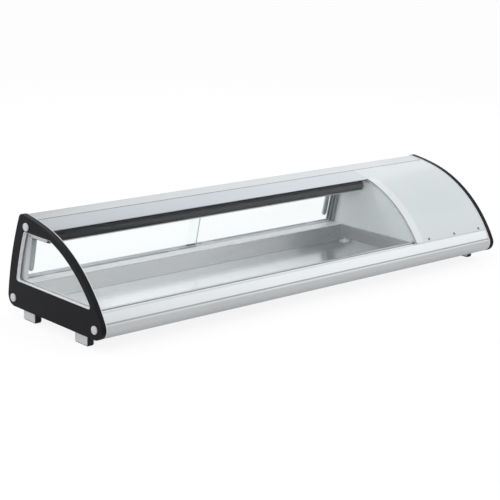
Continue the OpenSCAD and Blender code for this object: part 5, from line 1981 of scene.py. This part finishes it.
@dataclass
class Machine:
    """Compressor, condenser, fan and pipes, which keep their CAD shapes."""

    def build(self) -> None:
        """Dresses the cooling machine."""
        dressed(Finishes.ENAMEL, "compressor", "fan_motor")
        dressed(Finishes.RUBBER_AND_FOOT_SHADE, "compressor_grommets")
        dressed(Finishes.BLACK, "start_relay", "fan_blade")
        dressed(Finishes.GRILLE, "fan_shroud")
        dressed(Finishes.FINS, "condenser_fins")
        dressed(Finishes.COPPER, "condenser_tube", "filter_drier", "discharge_pipe", "liquid_line",
                "suction_pipe")


@dataclass
class Controls:
    """Controller, power switch and power inlet, which keep their CAD shapes."""

    def build(self) -> None:
        """Dresses the controls."""
        dressed(Finishes.BLACK, "controller_body", "power_switch", "power_inlet")
        dressed(Finishes.LENS, "controller_window")
        dressed(Finishes.BUTTON, "button_set", "button_up", "button_down")
        dressed(Finishes.ENAMEL, "rocker")


@dataclass
class Feet:
    """Four feet: a bright channel each with a black block in it, whose black paints the shade on
    the foot's front face.
    """

    near: float = 0.718  # distance of a foot's inner side from the middle
    width: float = 0.022  # width of a foot
    length: float = 0.050  # length of a foot
    middles: tuple[float, float] = (-0.107, 0.125)  # places of the feet from front to rear
    plate: float = 0.002  # thickness of the channel
    bend: float = 0.0015  # radius of its bends
    lift: float = 0.003  # height of the channel over the ground
    ledge_end: float = 0.7317  # where the plate under the pan ends
    block_edge: float = 0.0012  # radius of the block's edges

    def channel(self, side: int, middle: float) -> Workpiece:
        """One channel with its plate under the pan.

        Args:
            side: -1 for the left end and 1 for the right one.
            middle: Place of its middle.

        Returns:
            The channel.
        """
        low, high = between(side, self.near, self.near + self.width)
        top = SECTION.foot_height
        front, rear = middle - self.length / 2, middle + self.length / 2
        path = Workpiece().start(low, self.lift).lines((low, top), (high, top), (high, self.lift))
        path.sheet((-rear, -front), self.plate, self.bend).soften(Edge.CUT).laid(Plane.FRONT)
        inner, outer = between(side, self.near, self.ledge_end)
        ledge = Workpiece().block((inner, front, top - self.plate), (outer, rear, top + BODY.step))
        return together([path, ledge.soften(Edge.FINE)])

    def block(self, side: int, middle: float) -> Workpiece:
        """One black block.

        Args:
            side: -1 for the left end and 1 for the right one.
            middle: Place of its middle.

        Returns:
            The block.
        """
        low, high = between(side, self.near + self.plate, self.near + self.width - self.plate)
        block = Workpiece().block(
            (low, middle - self.length / 2, 0.0),
            (high, middle + self.length / 2, SECTION.foot_height - self.plate))
        return block.soften(self.block_edge, 3)

    def build(self) -> None:
        """Builds and dresses the feet."""
        # the blocks' black is painted shade on the feet's front faces
        for make, name, finish, slot, node in (
                (self.channel, "foot_channels", Finishes.BRIGHT, "foot_steel", "foot_brackets"),
                (self.block, "foot_blocks_painted_shade", Finishes.RUBBER_AND_FOOT_SHADE, "black_rubber", "foot_rubbers")):
            feet = together(make(side, middle) for side in (-1, 1) for middle in self.middles)
            installed(feet, name, [finish], slot, node)


# ---- studio


@dataclass
class Studio:
    """Pale floor, white surroundings, soft lamps and the camera."""

    eye: Triple = (-2.5757, -2.7393, 1.0715)  # place of the camera
    right: Triple = (0.744492923, -0.667102666, 0.026539059)  # direction to the image's right
    up: Triple = (0.147271639, 0.202868777, 0.968067830)  # direction to the image's top
    back: Triple = (-0.651184577, -0.716811198, 0.249279671)  # direction from object to camera
    lens: float = 97.6035  # focal length, in millimetres
    sensor: float = 36.0  # width of the sensor, in millimetres
    ambient: float = 0.7  # strength of the surroundings as a lamp
    mirror_low: float = 0.6  # their strength in reflections, at the horizon
    mirror_high: float = 1.0  # their strength in reflections, straight up
    floor_cloud: float = 3.0  # waves of the floor's clouds per metre
    floor_low: float = 0.62  # grey of the floor in its darker clouds
    floor_high: float = 0.64  # grey of the floor in its lighter clouds
    floor_glow: float = 1.16  # strength of the floor's glow, which whitens it in sight
    floor_share: float = 0.75  # share of that glow for the camera
    floor_mirror: float = 0.35  # share of that share for reflections
    floor_half: float = 30.0  # half the width of the floor
    floor_drop: float = 0.0002  # depth of the floor under the feet
    # name, place, size and power of each lamp
    lamps: tuple[tuple[str, Triple, float, float], ...] = (
        ("key_panel", (-1.5, -1.6, 2.8), 3.2, 16.0),
        ("fill_panel", (2.4, -1.8, 1.9), 2.4, 10.0),
        ("side_panel", (-2.4, 1.2, 1.8), 1.0, 11.0),
        ("rear_panel", (2.4, 2.3, 2.2), 2.4, 9.0))
    aim: Triple = (0.0, 0.0, 0.12)  # point that the lamps face

    def surroundings(self) -> None:
        """White surroundings for every ray that sees them, dimmer as a lamp and in mirrors."""
        world = bpy.data.worlds.new("white_surroundings")
        bpy.context.scene.world = world
        world.use_nodes = True
        desk = NodeDesk(world.node_tree)
        seen = desk.light_path("Is Camera Ray", "Is Transmission Ray")
        mirrored = desk.light_path("Is Glossy Ray")
        way = desk.add("ShaderNodeSeparateXYZ", {"Vector": desk.place()})
        rise = self.mirror_high - self.mirror_low
        lift = self.mirror_low + Signal(desk, way.outputs["Z"]) * rise
        plain = self.ambient + seen * (1.0 - self.ambient)
        strength = plain * (1.0 - mirrored) + mirrored * lift
        glow = desk.add("ShaderNodeBackground", {"Color": WHITE, "Strength": strength})
        desk.output(glow, "ShaderNodeOutputWorld")

    def floor(self) -> None:
        """A wide pale floor that keeps the object's shadow."""
        paint = bpy.data.materials.new("pale_floor")
        paint.use_nodes = True
        desk = NodeDesk(paint.node_tree)
        seen = desk.light_path("Is Camera Ray", "Is Transmission Ray")
        seen = seen + desk.light_path("Is Glossy Ray") * self.floor_mirror
        tone = desk.blend(desk.noise(self.floor_cloud), (self.floor_low,) * 3,
                          (self.floor_high,) * 3)
        matt = desk.add("ShaderNodeBsdfDiffuse", {"Color": tone})
        glow = desk.add("ShaderNodeEmission", {"Color": WHITE, "Strength": self.floor_glow})
        desk.output(desk.mixed(seen * self.floor_share, matt, glow))
        ground = Workpiece()
        bmesh.ops.create_grid(ground.bm, x_segments=1, y_segments=1, size=self.floor_half,
                              matrix=Matrix.Translation((0.0, 0.0, -self.floor_drop)))
        mesh = bpy.data.meshes.new("floor")
        ground.bm.to_mesh(mesh)
        ground.bm.free()
        plane = bpy.data.objects.new("floor", mesh)
        mesh.materials.append(paint)
        bpy.context.scene.collection.objects.link(plane)

    def camera(self) -> None:
        """The camera at the photograph's angle."""
        eye = bpy.data.cameras.new("photo_camera")
        eye.lens, eye.sensor_width = self.lens, self.sensor
        stand = bpy.data.objects.new("photo_camera", eye)
        turn = Matrix((self.right, self.up, self.back)).transposed().to_4x4()
        stand.matrix_world = Matrix.Translation(self.eye) @ turn
        bpy.context.scene.collection.objects.link(stand)
        bpy.context.scene.camera = stand

    def light(self) -> None:
        """The soft lamps."""
        for name, place, size, power in self.lamps:
            lamp = bpy.data.lights.new(name, "AREA")
            lamp.shape, lamp.size, lamp.energy = "SQUARE", size, power
            stand = bpy.data.objects.new(name, lamp)
            turn = (Vector(place) - Vector(self.aim)).to_track_quat("Z", "Y").to_matrix().to_4x4()
            stand.matrix_world = Matrix.Translation(place) @ turn
            bpy.context.scene.collection.objects.link(stand)

    def build(self) -> None:
        """Sets up the studio."""
        self.surroundings()
        self.floor()
        self.camera()
        self.light()
        bpy.context.scene.view_settings.view_transform = "Standard"


def main() -> None:
    """Builds the case in order, then the studio, and logs the name of each assembly."""
    logging.basicConfig(level=logging.INFO, format="%(name)s %(message)s")
    for assembly in (EndCheeks(), TopProfile(), FrontProfile(), RearProfile(), Glazing(),
                     DisplayWell(), SlidingDoors(), Evaporator(), MachineHousing(), Machine(),
                     Controls(), Feet(), Studio()):
        LOG.info("building %s", type(assembly).__name__)
        assembly.build()


if __name__ == "__main__":
    main()
